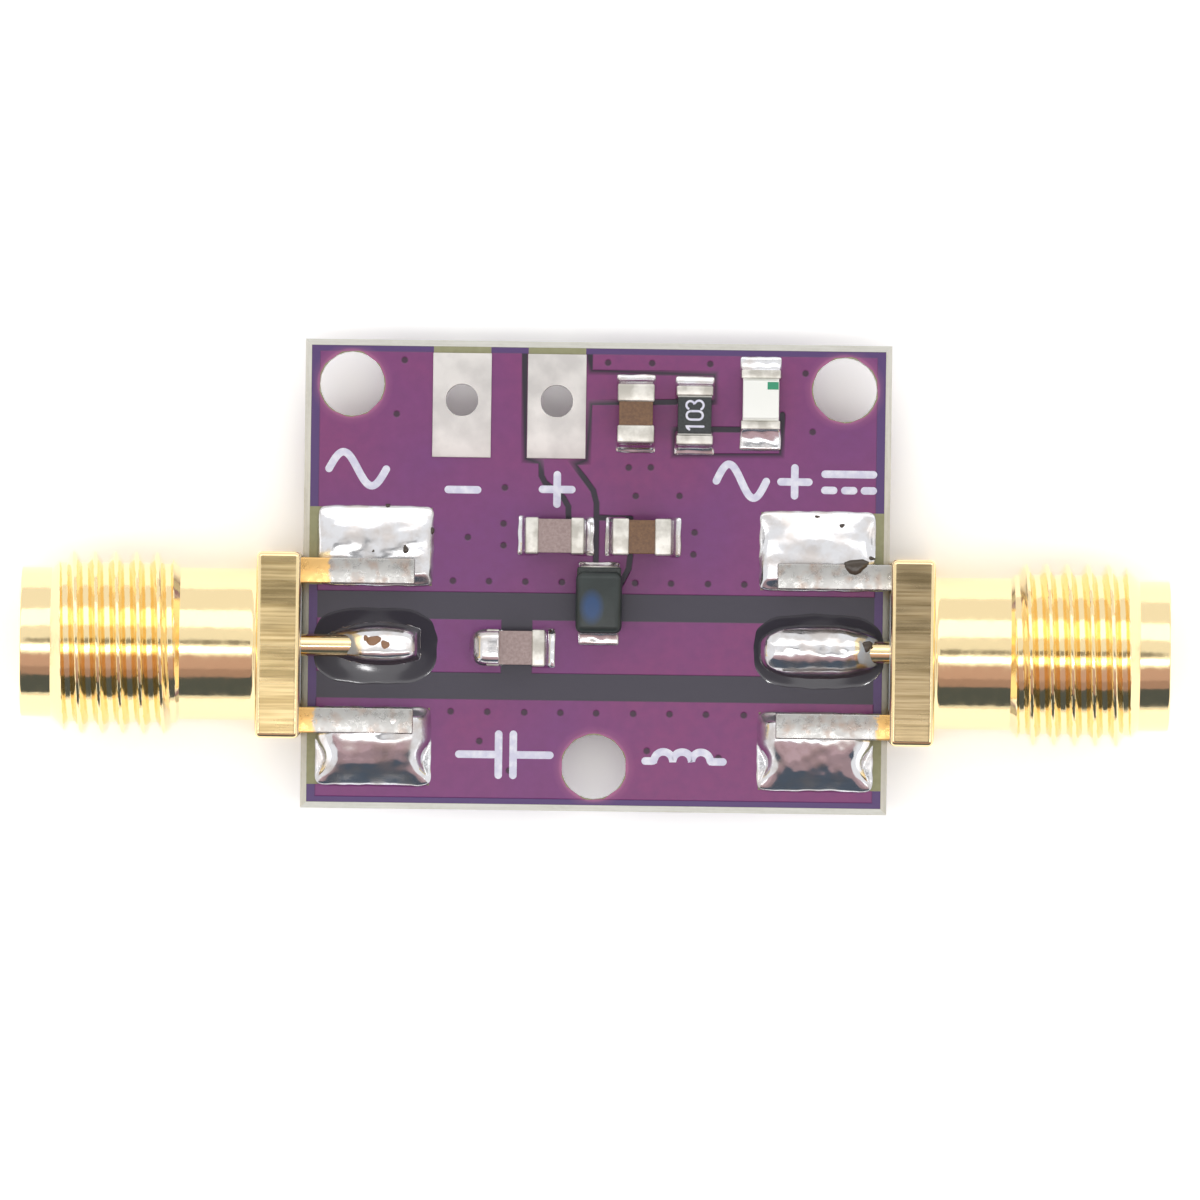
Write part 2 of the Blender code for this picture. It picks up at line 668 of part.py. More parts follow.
def add_led(name, x, y):
    """A base with wrapped ends, and an epoxy block with sloping sides over its die."""
    frame = add_chip_frame(name, x, y, True)
    wall = CHIP_PLATING + SEAT
    half_length = LED_LENGTH / 2
    half_width = LED_WIDTH / 2
    low = (wall - half_length, wall - half_width, wall)
    high = (half_length - wall, half_width - wall, LED_BASE_HEIGHT - wall)
    add_block(f"{name}_base", low, high, CERAMIC_EDGE / 2, LED_LAMINATE, frame)
    lens_half = half_length - LED_BAND - SEAT
    foot = high[2] + SEAT
    top = foot + LED_LENS_HEIGHT
    lens = loft_mesh(
        f"{name}_lens",
        [
            rounded_ring((-lens_half, -high[1]), (lens_half, high[1]), LED_LENS_TAPER, foot),
            rounded_ring(
                (LED_LENS_TAPER - lens_half, LED_LENS_TAPER - high[1]),
                (lens_half - LED_LENS_TAPER, high[1] - LED_LENS_TAPER),
                LED_LENS_TAPER,
                top,
            ),
        ],
    )
    add_object(f"{name}_lens", shade_round(lens, CLOUDY_EPOXY), frame)
    outer = (half_length, half_width, 0, LED_BASE_HEIGHT)
    rim = LED_BASE_HEIGHT - CHIP_PLATING
    inner = (half_length - CHIP_PLATING, half_width - CHIP_PLATING, CHIP_PLATING, rim)
    reaches = {-1: LED_LOWER_REACH, 1: LED_UPPER_REACH}
    for end, word in end_names(True).items():
        add_end_cap(f"{name}_{word}_terminal", end, outer, LED_BAND, inner, frame)
        solder = f"{name}_{word}_solder"
        height = LED_BASE_HEIGHT / 2
        add_end_solder(solder, end, half_length, half_width, LED_BAND, height, reaches[end], frame)


def winding_mesh(half_length, half_width, half_height, middle):
    """Wire wound round the core's waist: a helix on a rounded rectangle."""
    count = WINDING_TURNS * WINDING_POINTS
    curve = bpy.data.curves.new("winding", "CURVE")
    curve.dimensions = "3D"
    curve.bevel_depth = WIRE_DIAMETER / 2
    curve.bevel_resolution = 1
    curve.use_fill_caps = True
    spline = curve.splines.new("POLY")
    spline.points.add(count)
    for i, point in enumerate(spline.points):
        angle = 2 * math.pi * i / WINDING_POINTS
        c = math.cos(angle)
        s = math.sin(angle)
        y = half_width * math.copysign(abs(c) ** WINDING_ROUNDNESS, c)
        z = middle + half_height * math.copysign(abs(s) ** WINDING_ROUNDNESS, s)
        x = half_length * (2 * i / count - 1)
        point.co = (x, y, z, 1)
    coil = add_object("coil", curve)
    mesh = settled_mesh(coil, "winding")
    bm = bmesh.new()
    bm.from_mesh(mesh)
    bmesh.ops.remove_doubles(bm, verts=bm.verts, dist=SEAT / 100)
    bmesh.ops.recalc_face_normals(bm, faces=bm.faces)
    bm.to_mesh(mesh)
    bm.free()
    return shade_round(mesh, ENAMELLED_WIRE)


def add_inductor(name, x, y):
    """A spool-shaped core on two metal feet, wound round its waist, capped with resin."""
    frame = add_chip_frame(name, x, y, True)
    wall = CHIP_PLATING + SEAT
    half_length = INDUCTOR_LENGTH / 2
    half_width = INDUCTOR_WIDTH / 2
    core_end = half_length - wall
    core_side = half_width - wall
    core_top = wall + INDUCTOR_CORE_HEIGHT
    core_low = (-core_end, -core_side, wall)
    core_high = (core_end, core_side, core_top)
    core = add_block(f"{name}_core", core_low, core_high, CERAMIC_EDGE, FERRITE, frame)
    waist_middle = wall + INDUCTOR_CORE_HEIGHT / 2
    waist_half = INDUCTOR_WAIST_HEIGHT / 2
    bay = half_length - INDUCTOR_END
    spaces = {
        "lower": ((-bay, -half_width, 0), (bay, half_width, waist_middle - waist_half)),
        "upper": ((-bay, -half_width, waist_middle + waist_half), (bay, half_width, core_top + OVERRUN)),
        "left": ((-bay, -half_width, 0), (bay, -INDUCTOR_WAIST_WIDTH / 2, core_top + OVERRUN)),
        "right": ((-bay, INDUCTOR_WAIST_WIDTH / 2, 0), (bay, half_width, core_top + OVERRUN)),
    }
    for word, (low, high) in spaces.items():
        space = add_object(f"{name}_{word}_bay", box_mesh("bay", low, high), frame)
        combine(core, space, "DIFFERENCE")
    off_waist = WIRE_DIAMETER / 2 + SEAT
    winding = winding_mesh(
        bay - off_waist,
        INDUCTOR_WAIST_WIDTH / 2 + off_waist,
        INDUCTOR_WAIST_HEIGHT / 2 + off_waist,
        waist_middle,
    )
    add_object(f"{name}_winding", winding, frame)
    cap_half = half_length - INDUCTOR_END / 2
    cap_low = (-cap_half, -core_side, core_top + SEAT)
    cap_high = (cap_half, core_side, core_top + SEAT + INDUCTOR_CAP_THICKNESS)
    add_block(f"{name}_resin_cap", cap_low, cap_high, CHIP_EDGE, DARK_RESIN, frame, 2)
    outer = (half_length, half_width, 0, INDUCTOR_TERMINAL_HEIGHT)
    inner = (half_length - CHIP_PLATING, half_width - CHIP_PLATING, CHIP_PLATING, core_top)
    for end, word in end_names(True).items():
        add_end_cap(f"{name}_{word}_terminal", end, outer, INDUCTOR_END, inner, frame)
        solder = f"{name}_{word}_solder"
        height = INDUCTOR_TERMINAL_HEIGHT / 2
        add_end_solder(solder, end, half_length, half_width, INDUCTOR_END, height, INDUCTOR_REACH, frame)


def add_board():
    """Laminate with a V-shaped score left all round, three plain holes and two plated ones."""
    half_x = BOARD_LENGTH / 2
    half_y = BOARD_WIDTH / 2
    rings = []
    for z, inset in (
        (BOARD_BOTTOM, SCORE_SIDE),
        (BOARD_BOTTOM + SCORE_DEPTH, 0),
        (BOARD_TOP - SCORE_DEPTH, 0),
        (BOARD_TOP, SCORE_SIDE),
    ):
        x = half_x - inset
        y = half_y - inset
        rings.append([Vector((x, y, z)), Vector((-x, y, z)), Vector((-x, -y, z)), Vector((x, -y, z))])
    mesh = loft_mesh("circuit_board", rings)
    mesh.materials.append(PURPLE_BOARD)
    board = add_object("circuit_board", mesh)
    hole_x = half_x - MOUNTING_HOLE_FROM_END
    hole_y = half_y - MOUNTING_HOLE_FROM_SIDE
    holes = {
        "rear_left_hole": (-hole_x, hole_y, MOUNTING_HOLE / 2),
        "rear_right_hole": (hole_x, hole_y, MOUNTING_HOLE / 2),
        "front_hole": (0, -hole_y, MOUNTING_HOLE / 2),
    }
    for name, x in DC_PADS.items():
        radius = DC_HOLE / 2 + DC_HOLE_WALL + SEAT
        holes[f"{name}_hole"] = (x, half_y - DC_HOLE_FROM_SIDE, radius)
    for name, (x, y, radius) in holes.items():
        low = BOARD_BOTTOM - OVERRUN
        drill = cylinder_mesh("drill", radius, low, BOARD_TOP + OVERRUN, HOLE_SEGMENTS)
        combine(board, add_object(name, drill, None, (x, y, 0)), "DIFFERENCE")


def dc_pad_mesh():
    """A tinned land on each face of the board and the plated wall of the hole between."""
    edge = DC_HOLE_FROM_SIDE - DC_PAD_FROM_SIDE
    low = (-DC_PAD_WIDTH / 2, edge - DC_PAD_LENGTH)
    high = (DC_PAD_WIDTH / 2, edge)
    radius = DC_HOLE / 2 + DC_HOLE_WALL
    under = BOARD_BOTTOM - SEAT
    over = BOARD_TOP + SEAT
    lands = []
    for name, foot in (("top_land", over), ("bottom_land", under - DC_PAD_THICKNESS)):
        rings = [rounded_ring(low, high, DC_PAD_CORNER, foot + step) for step in (0, DC_PAD_THICKNESS)]
        lands.append(add_object(name, loft_mesh(name, rings)))
    top, bottom = lands
    inside = DC_PAD_THICKNESS / 2
    wall = cylinder_mesh("wall", radius, under - inside, over + inside, HOLE_SEGMENTS)
    combine(top, add_object("wall", wall), "UNION")
    combine(top, bottom, "UNION")
    drill = cylinder_mesh("drill", DC_HOLE / 2, under - OVERRUN, over + OVERRUN, HOLE_SEGMENTS)
    combine(top, add_object("drill", drill), "DIFFERENCE")
    return shade_round(settled_mesh(top, "dc_pad"), TINNED_LAND)


def add_dc_pads():
    mesh = dc_pad_mesh()
    for name, x in DC_PADS.items():
        add_object(name, mesh, None, (x, BOARD_WIDTH / 2 - DC_HOLE_FROM_SIDE, 0))


def add_jacks():
    meshes = {
        "jack_body": jack_body_mesh(),
        "jack_insulator": insulator_mesh(),
        "jack_contact": centre_contact_mesh(),
    }
    add_jack("left", -1, meshes)
    add_jack("right", 1, meshes)


def add_jack_solder():
    """Four joints under the board, four on top, and one on each contact's tail."""
    for side_name, facing in (("left", -1), ("right", 1)):
        for side in (-1, 1):
            add_leg_solder(side_name, facing, side, -1, DEEP_SOLDER_HEIGHT)
        add_leg_solder(side_name, facing, -1, 1, DEEP_SOLDER_HEIGHT)
    add_leg_solder("left", -1, 1, 1, FLAT_SOLDER_HEIGHT)
    add_leg_solder("right", 1, 1, 1, SWOLLEN_SOLDER_HEIGHT, domed=True)
    past_tail = LEFT_TAIL_SOLDER_PAST_TAIL
    add_tail_solder("left", -1, past_tail, LEFT_TAIL_SOLDER_LENGTH, LEFT_TAIL_SOLDER_HEIGHT, False)
    past_tail = RIGHT_TAIL_SOLDER_PAST_TAIL
    add_tail_solder("right", 1, past_tail, RIGHT_TAIL_SOLDER_LENGTH, RIGHT_TAIL_SOLDER_HEIGHT, True)


def add_chips():
    even = {-1: SOLDER_REACH, 1: SOLDER_REACH}
    snug = {-1: SHORT_REACH, 1: SOLDER_REACH}
    thin = THIN_CAPACITOR_HEIGHT
    thick = THICK_CAPACITOR_HEIGHT
    long_edge = BOARD_WIDTH / 2
    row_y = long_edge - INPUT_CAPACITOR_FROM_SIDE
    add_capacitor("blocking_capacitor", BLOCKING_CAPACITOR_X, JACK_AXIS_Y, False, thin, GREY_CERAMIC, even)
    add_capacitor(
        "filter_capacitor_a", FILTER_CAPACITOR_A_X, FILTER_CAPACITORS_Y, False, thin, GREY_CERAMIC, snug
    )
    add_capacitor(
        "filter_capacitor_b", FILTER_CAPACITOR_B_X, FILTER_CAPACITORS_Y, False, thick, BROWN_CERAMIC, snug
    )
    add_capacitor("input_capacitor", INPUT_CAPACITOR_X, row_y, True, thick, BROWN_CERAMIC, even)
    add_resistor("led_resistor", RESISTOR_X, long_edge - RESISTOR_FROM_SIDE)
    add_led("led", LED_X, long_edge - LED_FROM_SIDE)
    add_inductor("inductor", INDUCTOR_X, INDUCTOR_Y)


for existing in list(bpy.context.scene.objects):
    bpy.data.objects.remove(existing)

PARTS = new_collection("rf_bias_tee")
TOOLS = new_collection("cutting_tools")

PURPLE_BOARD = finish("purple_solder_mask", "7C5478", 0.0, 0.4)
GOLD_PLATED_BRASS = finish("gold_plated_brass", "E0C27A", 1.0, 0.25)
GOLD_PLATED_CONTACT = finish("gold_plated_contact", "E6C878", 1.0, 0.2)
FLUOROPOLYMER = finish("white_fluoropolymer", "F0EEE8", 0.0, 0.5)
TINNED_LAND = finish("tinned_copper_land", "D6CFC4", 1.0, 0.35)
TINNED_END = finish("tinned_chip_end", "C9C5BE", 1.0, 0.4)
SOLDER = finish("solder", "C8C6C2", 1.0, 0.22)
GREY_CERAMIC = finish("pinkish_grey_ceramic", "A98E86", 0.0, 0.4)
BROWN_CERAMIC = finish("brown_ceramic", "7A5546", 0.0, 0.4)
ALUMINA = finish("alumina", "E4E2DC", 0.0, 0.5)
BLACK_GLAZE = finish("black_glaze", "2B302F", 0.0, 0.35)
LED_LAMINATE = finish("led_base_laminate", "E8E4D4", 0.0, 0.5)
CLOUDY_EPOXY = finish("cloudy_epoxy", "F4ECD8", 0.0, 0.2)
FERRITE = finish("ferrite", "2E3234", 0.0, 0.5)
ENAMELLED_WIRE = finish("enamelled_wire", "6E3B22", 0.6, 0.35)
DARK_RESIN = finish("dark_resin", "2A3638", 0.0, 0.3)

add_board()
add_dc_pads()
add_jacks()
add_jack_solder()
add_chips()
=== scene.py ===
import math

import bmesh
import bpy
import numpy as np
from mathutils.geometry import delaunay_2d_cdt
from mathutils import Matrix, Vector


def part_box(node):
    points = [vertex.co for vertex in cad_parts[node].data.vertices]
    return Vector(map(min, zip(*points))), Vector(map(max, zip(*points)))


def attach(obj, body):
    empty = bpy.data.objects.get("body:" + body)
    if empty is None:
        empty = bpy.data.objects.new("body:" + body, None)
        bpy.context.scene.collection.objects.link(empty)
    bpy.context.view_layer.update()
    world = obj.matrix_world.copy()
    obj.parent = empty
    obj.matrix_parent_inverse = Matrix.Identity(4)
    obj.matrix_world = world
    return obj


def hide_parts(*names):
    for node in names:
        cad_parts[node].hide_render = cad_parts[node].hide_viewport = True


# Looks of the RF bias tee: a small purple circuit board with a gold SMA edge jack soldered
# on each short side. Shapes are worked out in millimetres and scaled once, as meshes are made.
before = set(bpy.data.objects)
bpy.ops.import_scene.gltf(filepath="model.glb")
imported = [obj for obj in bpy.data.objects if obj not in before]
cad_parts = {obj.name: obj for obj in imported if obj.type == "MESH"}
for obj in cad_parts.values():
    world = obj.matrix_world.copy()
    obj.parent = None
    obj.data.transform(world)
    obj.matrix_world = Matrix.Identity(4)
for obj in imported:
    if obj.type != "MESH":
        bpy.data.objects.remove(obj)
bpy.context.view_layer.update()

MM = 0.001
TURN = 2 * math.pi


def node_box(name):
    """A CAD node's low and high corners, in millimetres."""
    low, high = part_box(name)
    return np.array(low) / MM, np.array(high) / MM


# Places taken from the frame.
BOARD_LOW, BOARD_HIGH = node_box("circuit_board")
BOARD_TOP = BOARD_HIGH[2]
BOARD_BOTTOM = BOARD_LOW[2]
JACK_LOW, JACK_HIGH = node_box("right_jack_body")
SLEEVE_LOW, SLEEVE_HIGH = node_box("right_jack_insulator")
CONTACT_LOW, CONTACT_HIGH = node_box("right_jack_contact")
AXIS_Y = (JACK_LOW[1] + JACK_HIGH[1]) / 2
AXIS_Z = (JACK_LOW[2] + JACK_HIGH[2]) / 2
FLANGE_SIDE = JACK_HIGH[2] - JACK_LOW[2]
FLANGE_BACK = SLEEVE_LOW[0]
JACK_LENGTH = JACK_HIGH[0] - FLANGE_BACK
SOCKET_FLOOR = SLEEVE_HIGH[0] - FLANGE_BACK
LEG_LENGTH = FLANGE_BACK - JACK_LOW[0]

# The jack's own sizes.
FLANGE_THICKNESS = 1.5
FLANGE_EDGE = 0.2
LEG_WIDTH = 0.88
LEG_HEIGHT = 0.9
LEG_SPACING = 5.1
LEG_EDGE = 0.05
NECK_LENGTH = 2.6
NECK_RADIUS = 5.25 / 2
NECK_FILLET = 0.12
PILOT_RADIUS = 5.15 / 2
PILOT_LENGTH = 1.04
THREAD_RADIUS = 6.26 / 2
THREAD_PITCH = 25.4 / 36
THREAD_DEPTH = 0.5413 * THREAD_PITCH
SOCKET_RADIUS = 4.6 / 2
SOCKET_LEAD = 0.12
LIP_EDGE = 0.07
BORE_RADIUS = 4.1 / 2
CONTACT_RADIUS = (CONTACT_HIGH[1] - CONTACT_LOW[1]) / 2
CONTACT_BORE = 0.93 / 2
CONTACT_BORE_DEPTH = 3.0
CONTACT_SHOULDER = 1.02
CONTACT_EDGE = 0.07
DRILL_POINT = 0.25
SLOT_WIDTH = 0.16
SLOT_LENGTH = 2.3
TAIL_RADIUS = 0.38

# The printed board's layers above the laminate.
MASK_X = 9.78
MASK_Y = 7.78
POUR_X = 9.49
POUR_Y = 7.58
MASK_LOW = 0.001
MASK_HIGH = 0.019
EDGE_SLOPE = 0.02
HOLE_RADIUS = 1.1
HOLES = [(-8.4, 6.48), (8.4, 6.48), (0.0, -6.48)]

# The gap between pieces that touch, how near two points count as one, and how near a face
# counts as lying on another.
SEAT = 0.02
MERGED = 0.0002
NEAR = 0.01
# The largest part of a face's normal from which the face counts as square to an axis.
SQUARE = 0.985
# How many points go round a jack.
ROUND = 144


# Materials

def linear(hex_colour):
    """The linear colour of an sRGB hex code."""
    channels = [int(hex_colour[i : i + 2], 16) / 255 for i in (0, 2, 4)]
    return [((c + 0.055) / 1.055) ** 2.4 if c > 0.04045 else c / 12.92 for c in channels] + [1.0]


def join(tree, node, sockets):
    """A node with its sockets set to values or sRGB hex codes, or linked to other nodes."""
    for socket, value in sockets.items():
        if isinstance(value, str):
            value = linear(value)
        if isinstance(value, bpy.types.Node):
            value = value.outputs[0]
        if isinstance(value, bpy.types.NodeSocket):
            tree.links.new(value, node.inputs[socket])
        else:
            node.inputs[socket].default_value = value
    return node


def add(tree, kind, sockets=(), **named):
    """A new node with its settings and links.

    Its sockets come in their order, or by names with a capital, and its settings by the rest."""
    made = tree.nodes.new("ShaderNode" + kind)
    sockets = dict(enumerate(sockets))
    for name, value in named.items():
        if name[0].isupper():
            sockets[name] = value
        else:
            setattr(made, name, value)
    return join(tree, made, sockets)


def new_material(name):
    """A material of one Principled shader, and its tree of nodes."""
    material = bpy.data.materials.new(name)
    material.use_nodes = True
    return material, material.node_tree


def patterned(name):
    """A material, its tree of nodes, and a point's place on the object."""
    material, tree = new_material(name)
    return material, tree, add(tree, "TexCoord").outputs["Object"]


def finish(material, colour, metallic, roughness, bump=None, **sockets):
    """The material, with its shader's sockets set or linked. A name's underscore is a space."""
    tree = material.node_tree
    values = {"Base Color": colour, "Metallic": metallic, "Roughness": roughness}
    values |= {name.replace("_", " "): value for name, value in sockets.items()}
    if bump:
        values["Normal"] = bump
    join(tree, tree.nodes["Principled BSDF"], values)
    return material


def even(name, hex_colour, roughness, metallic=0.0, **sockets):
    """A material that is the same all over."""
    return finish(new_material(name)[0], hex_colour, metallic, roughness, **sockets)


def blotched(name, metallic, sheen, colours, noise, share, grain=None, depth=0.0, strength=0.5):
    """A surface that wanders between two colours in blotches.

    The blotches and the grain are each a noise's scale and detail, and the colour changes over
    the noise's share. The grain, or the blotches without one, dents the surface. The sheen is
    one roughness, or one for each colour."""
    material, tree, place = patterned(name)
    dents = blotches = add(tree, "TexNoise", Vector=place, Scale=noise[0], Detail=noise[1])
    patch = add(tree, "MapRange", (blotches, *share))
    tone = add(tree, "MixRGB", (patch, *colours))
    if isinstance(sheen, tuple):
        sheen = add(tree, "MapRange", (patch, 0, 1, *sheen))
    if grain:
        dents = add(tree, "TexNoise", Vector=place, Scale=grain[0], Detail=grain[1])
    bump = add(tree, "Bump", Height=dents, Distance=depth, Strength=strength) if depth else None
    return finish(material, tone, metallic, sheen, bump)


def ceramic(name, dark, light):
    """A sintered body: matt stone with a fine grain, about 0.1 mm."""
    return blotched(name, 0.0, 0.42, (dark, light), (12000.0, 5.0), (0.3, 0.7), depth=0.000005)


def turned_gold():
    """Gold plate over turned brass: a warm mirror with fine rings round the axis."""
    material, tree, place = patterned("gold plate on turned brass")
    # Tool marks: rings about 0.05 mm apart along the axis, drawn coarser than the real ones.
    rings = add(tree, "Mapping", Vector=place, Scale=(20000, 900, 900))
    marks = add(tree, "TexNoise", Vector=rings, Scale=1.0, Detail=3.0)
    # Shallow dents and waviness of the plating, about 0.3 mm across.
    dents = add(tree, "TexNoise", Vector=place, Scale=3200.0, Detail=4.0)
    sheen = add(tree, "MapRange", (dents, 0.35, 0.7, 0.08, 0.17))
    fine = add(tree, "Bump", Height=marks, Distance=0.0000012, Strength=0.6)
    bump = add(tree, "Bump", Height=dents, Distance=0.000007, Strength=0.5, Normal=fine)
    return finish(material, "FFE7B3", 1.0, sheen, bump)


def milled_gold():
    """Gold plate over a milled flange: dull, with cutter lines across its thickness."""
    material, tree, place = patterned("gold plate on milled brass")
    # Cutter lines along the jack's axis, about 0.1 mm apart.
    lines = add(tree, "Mapping", Vector=place, Scale=(300, 10000, 10000))
    marks = add(tree, "TexNoise", Vector=lines, Scale=1.0, Detail=4.0)
    patches = add(tree, "Mapping", Vector=place, Scale=(300, 1500, 1500))
    blotches = add(tree, "TexNoise", Vector=patches, Scale=1.0, Detail=2.0)
    tone = add(tree, "MapRange", (marks, 0.36, 0.64))
    shade = add(tree, "MapRange", (blotches, 0.38, 0.62))
    lined = add(tree, "MixRGB", (tone, "B39C6E", "DCC595"))
    dulled = add(tree, "MixRGB", (tone, "9B875F", "C2AC80"))
    colour = add(tree, "MixRGB", (shade, dulled, lined))
    sheen = add(tree, "MapRange", (blotches, 0.35, 0.65, 0.24, 0.36))
    bump = add(tree, "Bump", Height=marks, Distance=0.000003, Strength=0.6)
    # Painted shade: the right-hand flange is painted darker than the left.
    side = add(tree, "SeparateXYZ", (place,)).outputs["X"]
    right = add(tree, "MapRange", (side, -MM, MM))
    colour = add(tree, "MixRGB", (right, colour, "CDCDD5"), blend_type="MULTIPLY")
    return finish(material, colour, 1.0, sheen, bump)


def tinned_gold():
    """Gold legs wetted by solder: satin tin, and bare gold from where the wetting stopped.

    The attribute says how far from the board's middle that is, which differs from leg to leg."""
    material, tree, place = patterned("gold wetted by solder")
    along = add(tree, "SeparateXYZ", (place,)).outputs["X"]
    reach = add(tree, "Math", (along,), operation="ABSOLUTE")
    stop = add(tree, "Attribute", attribute_name="wetted_to").outputs["Fac"]
    grain = add(tree, "TexNoise", Vector=place, Scale=5000.0, Detail=4.0)
    ragged = add(tree, "Math", (grain, 0.0005, reach), operation="MULTIPLY_ADD")
    past = add(tree, "Math", (ragged, stop), operation="SUBTRACT")
    bare = add(tree, "MapRange", (past, 0.0, 0.12 * MM))
    stain = add(tree, "TexNoise", Vector=place, Scale=2100.0, Detail=3.0)
    blush = add(tree, "MapRange", (stain, 0.5, 0.7))
    tin = add(tree, "MixRGB", (blush, "B2B1AE", "A8998F"))
    colour = add(tree, "MixRGB", (bare, tin, "E6BB79"))
    sheen = add(tree, "MapRange", (grain, 0.35, 0.65, 0.24, 0.36))
    bump = add(tree, "Bump", Height=grain, Distance=0.000012, Strength=0.5)
    return finish(material, colour, 1.0, sheen, bump)


def purple_mask():
    """Screened solder mask, glossy: plum over copper, near black over bare laminate.

    At the board's margin it is thin and violet, and light through the laminate reddens it
    round the mounting holes."""
    material, tree, place = patterned("purple solder mask")
    shares = ("copper", "hollow", "margin", "hole_rim", "broad_gap")
    copper, hollow, margin, rim, broad = (
        add(tree, "Attribute", attribute_name=share).outputs["Fac"] for share in shares
    )
    drift = add(tree, "TexNoise", Vector=place, Scale=170.0, Detail=2.0)
    cloud = add(tree, "TexNoise", Vector=place, Scale=2500.0, Detail=4.0)
    shift = add(tree, "MapRange", (drift, 0.38, 0.62))
    over_copper = add(tree, "MixRGB", (shift, "7E3C80", "903D77"))
    mottled = add(tree, "MixRGB", (cloud, "773570", over_copper))
    band = add(tree, "MixRGB", (broad, "2A1E30", "3E3947"))
    bare = add(tree, "MixRGB", (margin, band, "573A74"))
    colour = add(tree, "MixRGB", (copper, bare, mottled))
    reddened = add(tree, "MixRGB", (rim, colour, "BD7096"))
    dimpled = add(tree, "MixRGB", (hollow, reddened, "42203C"))
    bump = add(tree, "Bump", Height=cloud, Distance=0.000004, Strength=0.4)
    return finish(material, dimpled, 0.0, 0.28, bump)


def glass_laminate():
    """Glass-fibre laminate: dull olive where it is bare, pale where a cutter broke its edge."""
    material, tree, place = patterned("bare glass-fibre laminate")
    height = add(tree, "SeparateXYZ", (place,)).outputs["Z"]
    # Eight layers of cloth, 0.2 mm thick, show on the cut edges.
    layers = add(tree, "Mapping", Vector=place, Scale=(600, 600, 5000))
    plies = add(tree, "TexNoise", Vector=layers, Scale=1.0, Detail=4.0)
    fibres = add(tree, "TexNoise", Vector=place, Scale=5000.0, Detail=4.0)
    share = add(tree, "MapRange", (plies, 0.35, 0.65))
    cut = add(tree, "MixRGB", (share, "D0CDBF", "E8E6DC"))
    broken = add(tree, "MixRGB", (fibres, cut, "ECEAE2"))
    whole = add(tree, "MixRGB", (fibres, "8E8D66", "A3A17C"))
    below, top = (BOARD_TOP - 0.03) * MM, (BOARD_TOP - 0.005) * MM
    level = add(tree, "MapRange", (height, below, top))
    colour = add(tree, "MixRGB", (level, broken, whole))
    bump = add(tree, "Bump", Height=fibres, Distance=0.00003, Strength=0.6)
    return finish(material, colour, 0.0, 0.6, bump)


def choke_resin():
    """Poured green-black resin over the choke, with the blue of its ferrite showing through."""
    material, tree, place = patterned("poured choke resin")
    # An oval of about 0.6 by 0.9 mm, a little in front of the choke's middle.
    oval = add(tree, "Mapping", Vector=place, Location=(0.38, 1.96, 0.0), Scale=(2800, 1900, 0))
    away = add(tree, "VectorMath", (oval,), operation="LENGTH").outputs["Value"]
    seen = add(tree, "MapRange", (away, 1.25, 0.55))
    cloud = add(tree, "TexNoise", Vector=place, Scale=1800.0, Detail=3.0)
    dark = add(tree, "MixRGB", (cloud, "1C2422", "333D3B"))
    colour = add(tree, "MixRGB", (seen, dark, "1D4474"))
    return finish(material, colour, 0.0, 0.35)


TURNED_GOLD = turned_gold()
MILLED_GOLD = milled_gold()
LEG_TIN = tinned_gold()
MASK = purple_mask()
LAMINATE = glass_laminate()
RESIN = choke_resin()
# Tin-lead solder that set with a bright skin: a mirror with frosted, faintly warm patches
# about 0.8 mm across, and crystals of about 0.1 mm.
SOLDER = blotched("bright solder", 1.0, (0.12, 0.26), ("E9E9EC", "D6D0CD"), (1300.0, 3.0), (0.42, 0.62),
                  (8000.0, 4.0), 0.000004)
# White legend ink: matt, a little uneven, with a trace of the mask's purple.
INK = blotched("white legend ink", 0.0, 0.55, ("DAD8EC", "F3F2FC"), (3500.0, 4.0), (0.4, 0.7))
# A levelled tin pad: pale warm grey, with soft blotches of about 1 mm.
PAD_TIN = blotched("levelled tin pad", 0.7, 0.42, ("C3BFBC", "D7D3CF"), (900.0, 5.0), (0.38, 0.62),
                   depth=0.00001)
# Barrel-plated tin on a chip's end: pale, satin, finely grained.
CHIP_TIN = blotched("barrel-plated tin", 0.7, 0.34, ("BBB7AE", "E3E0D8"), (1900.0, 3.0), (0.4, 0.62),
                    (16000.0, 4.0), 0.000005, 0.6)
# Fired ceramic, glaze and pressed ferrite: matt, stony, with a fine grain in their own tones.
GREY_CERAMIC = ceramic("fired grey ceramic", "9A8380", "B09A96")
BROWN_CERAMIC = ceramic("fired brown ceramic", "6B4A33", "84603F")
ALUMINA = ceramic("white alumina", "D8D6CE", "EDEBE4")
BLACK_GLAZE = ceramic("black protective glaze", "262A2B", "363C3D")
FERRITE = ceramic("pressed ferrite", "1F2422", "2F3734")
# Epoxy moulded cloudy round the diode, and its painted mark: pale and satin.
LED_EPOXY = even("cloudy moulded epoxy", "FFFFF9", 0.3)
GREEN_MARK = even("green polarity paint", "2E9A72", 0.5)
# Flux that set as a dark clear gloss, and that the iron burnt brown and duller.
FLUX = even("set dark flux", "332F39", 0.08)
BURNT_FLUX = even("burnt brown flux", "4A3F35", 0.25)
FLUX_CRUST = even("rust-brown flux crust", "9A7152", 0.35)
# Enamel on drawn copper wire: red-brown, with a little of the metal's gleam.
WIRE_ENAMEL = even("red-brown wire enamel", "7A3A22", 0.3, 0.3)
# Moulded fluoropolymer: white and waxy, as light gets a little way in.
FLUOROPOLYMER = even("white fluoropolymer", "F2F1EC", 0.4, Subsurface_Weight=0.2)


# Meshes

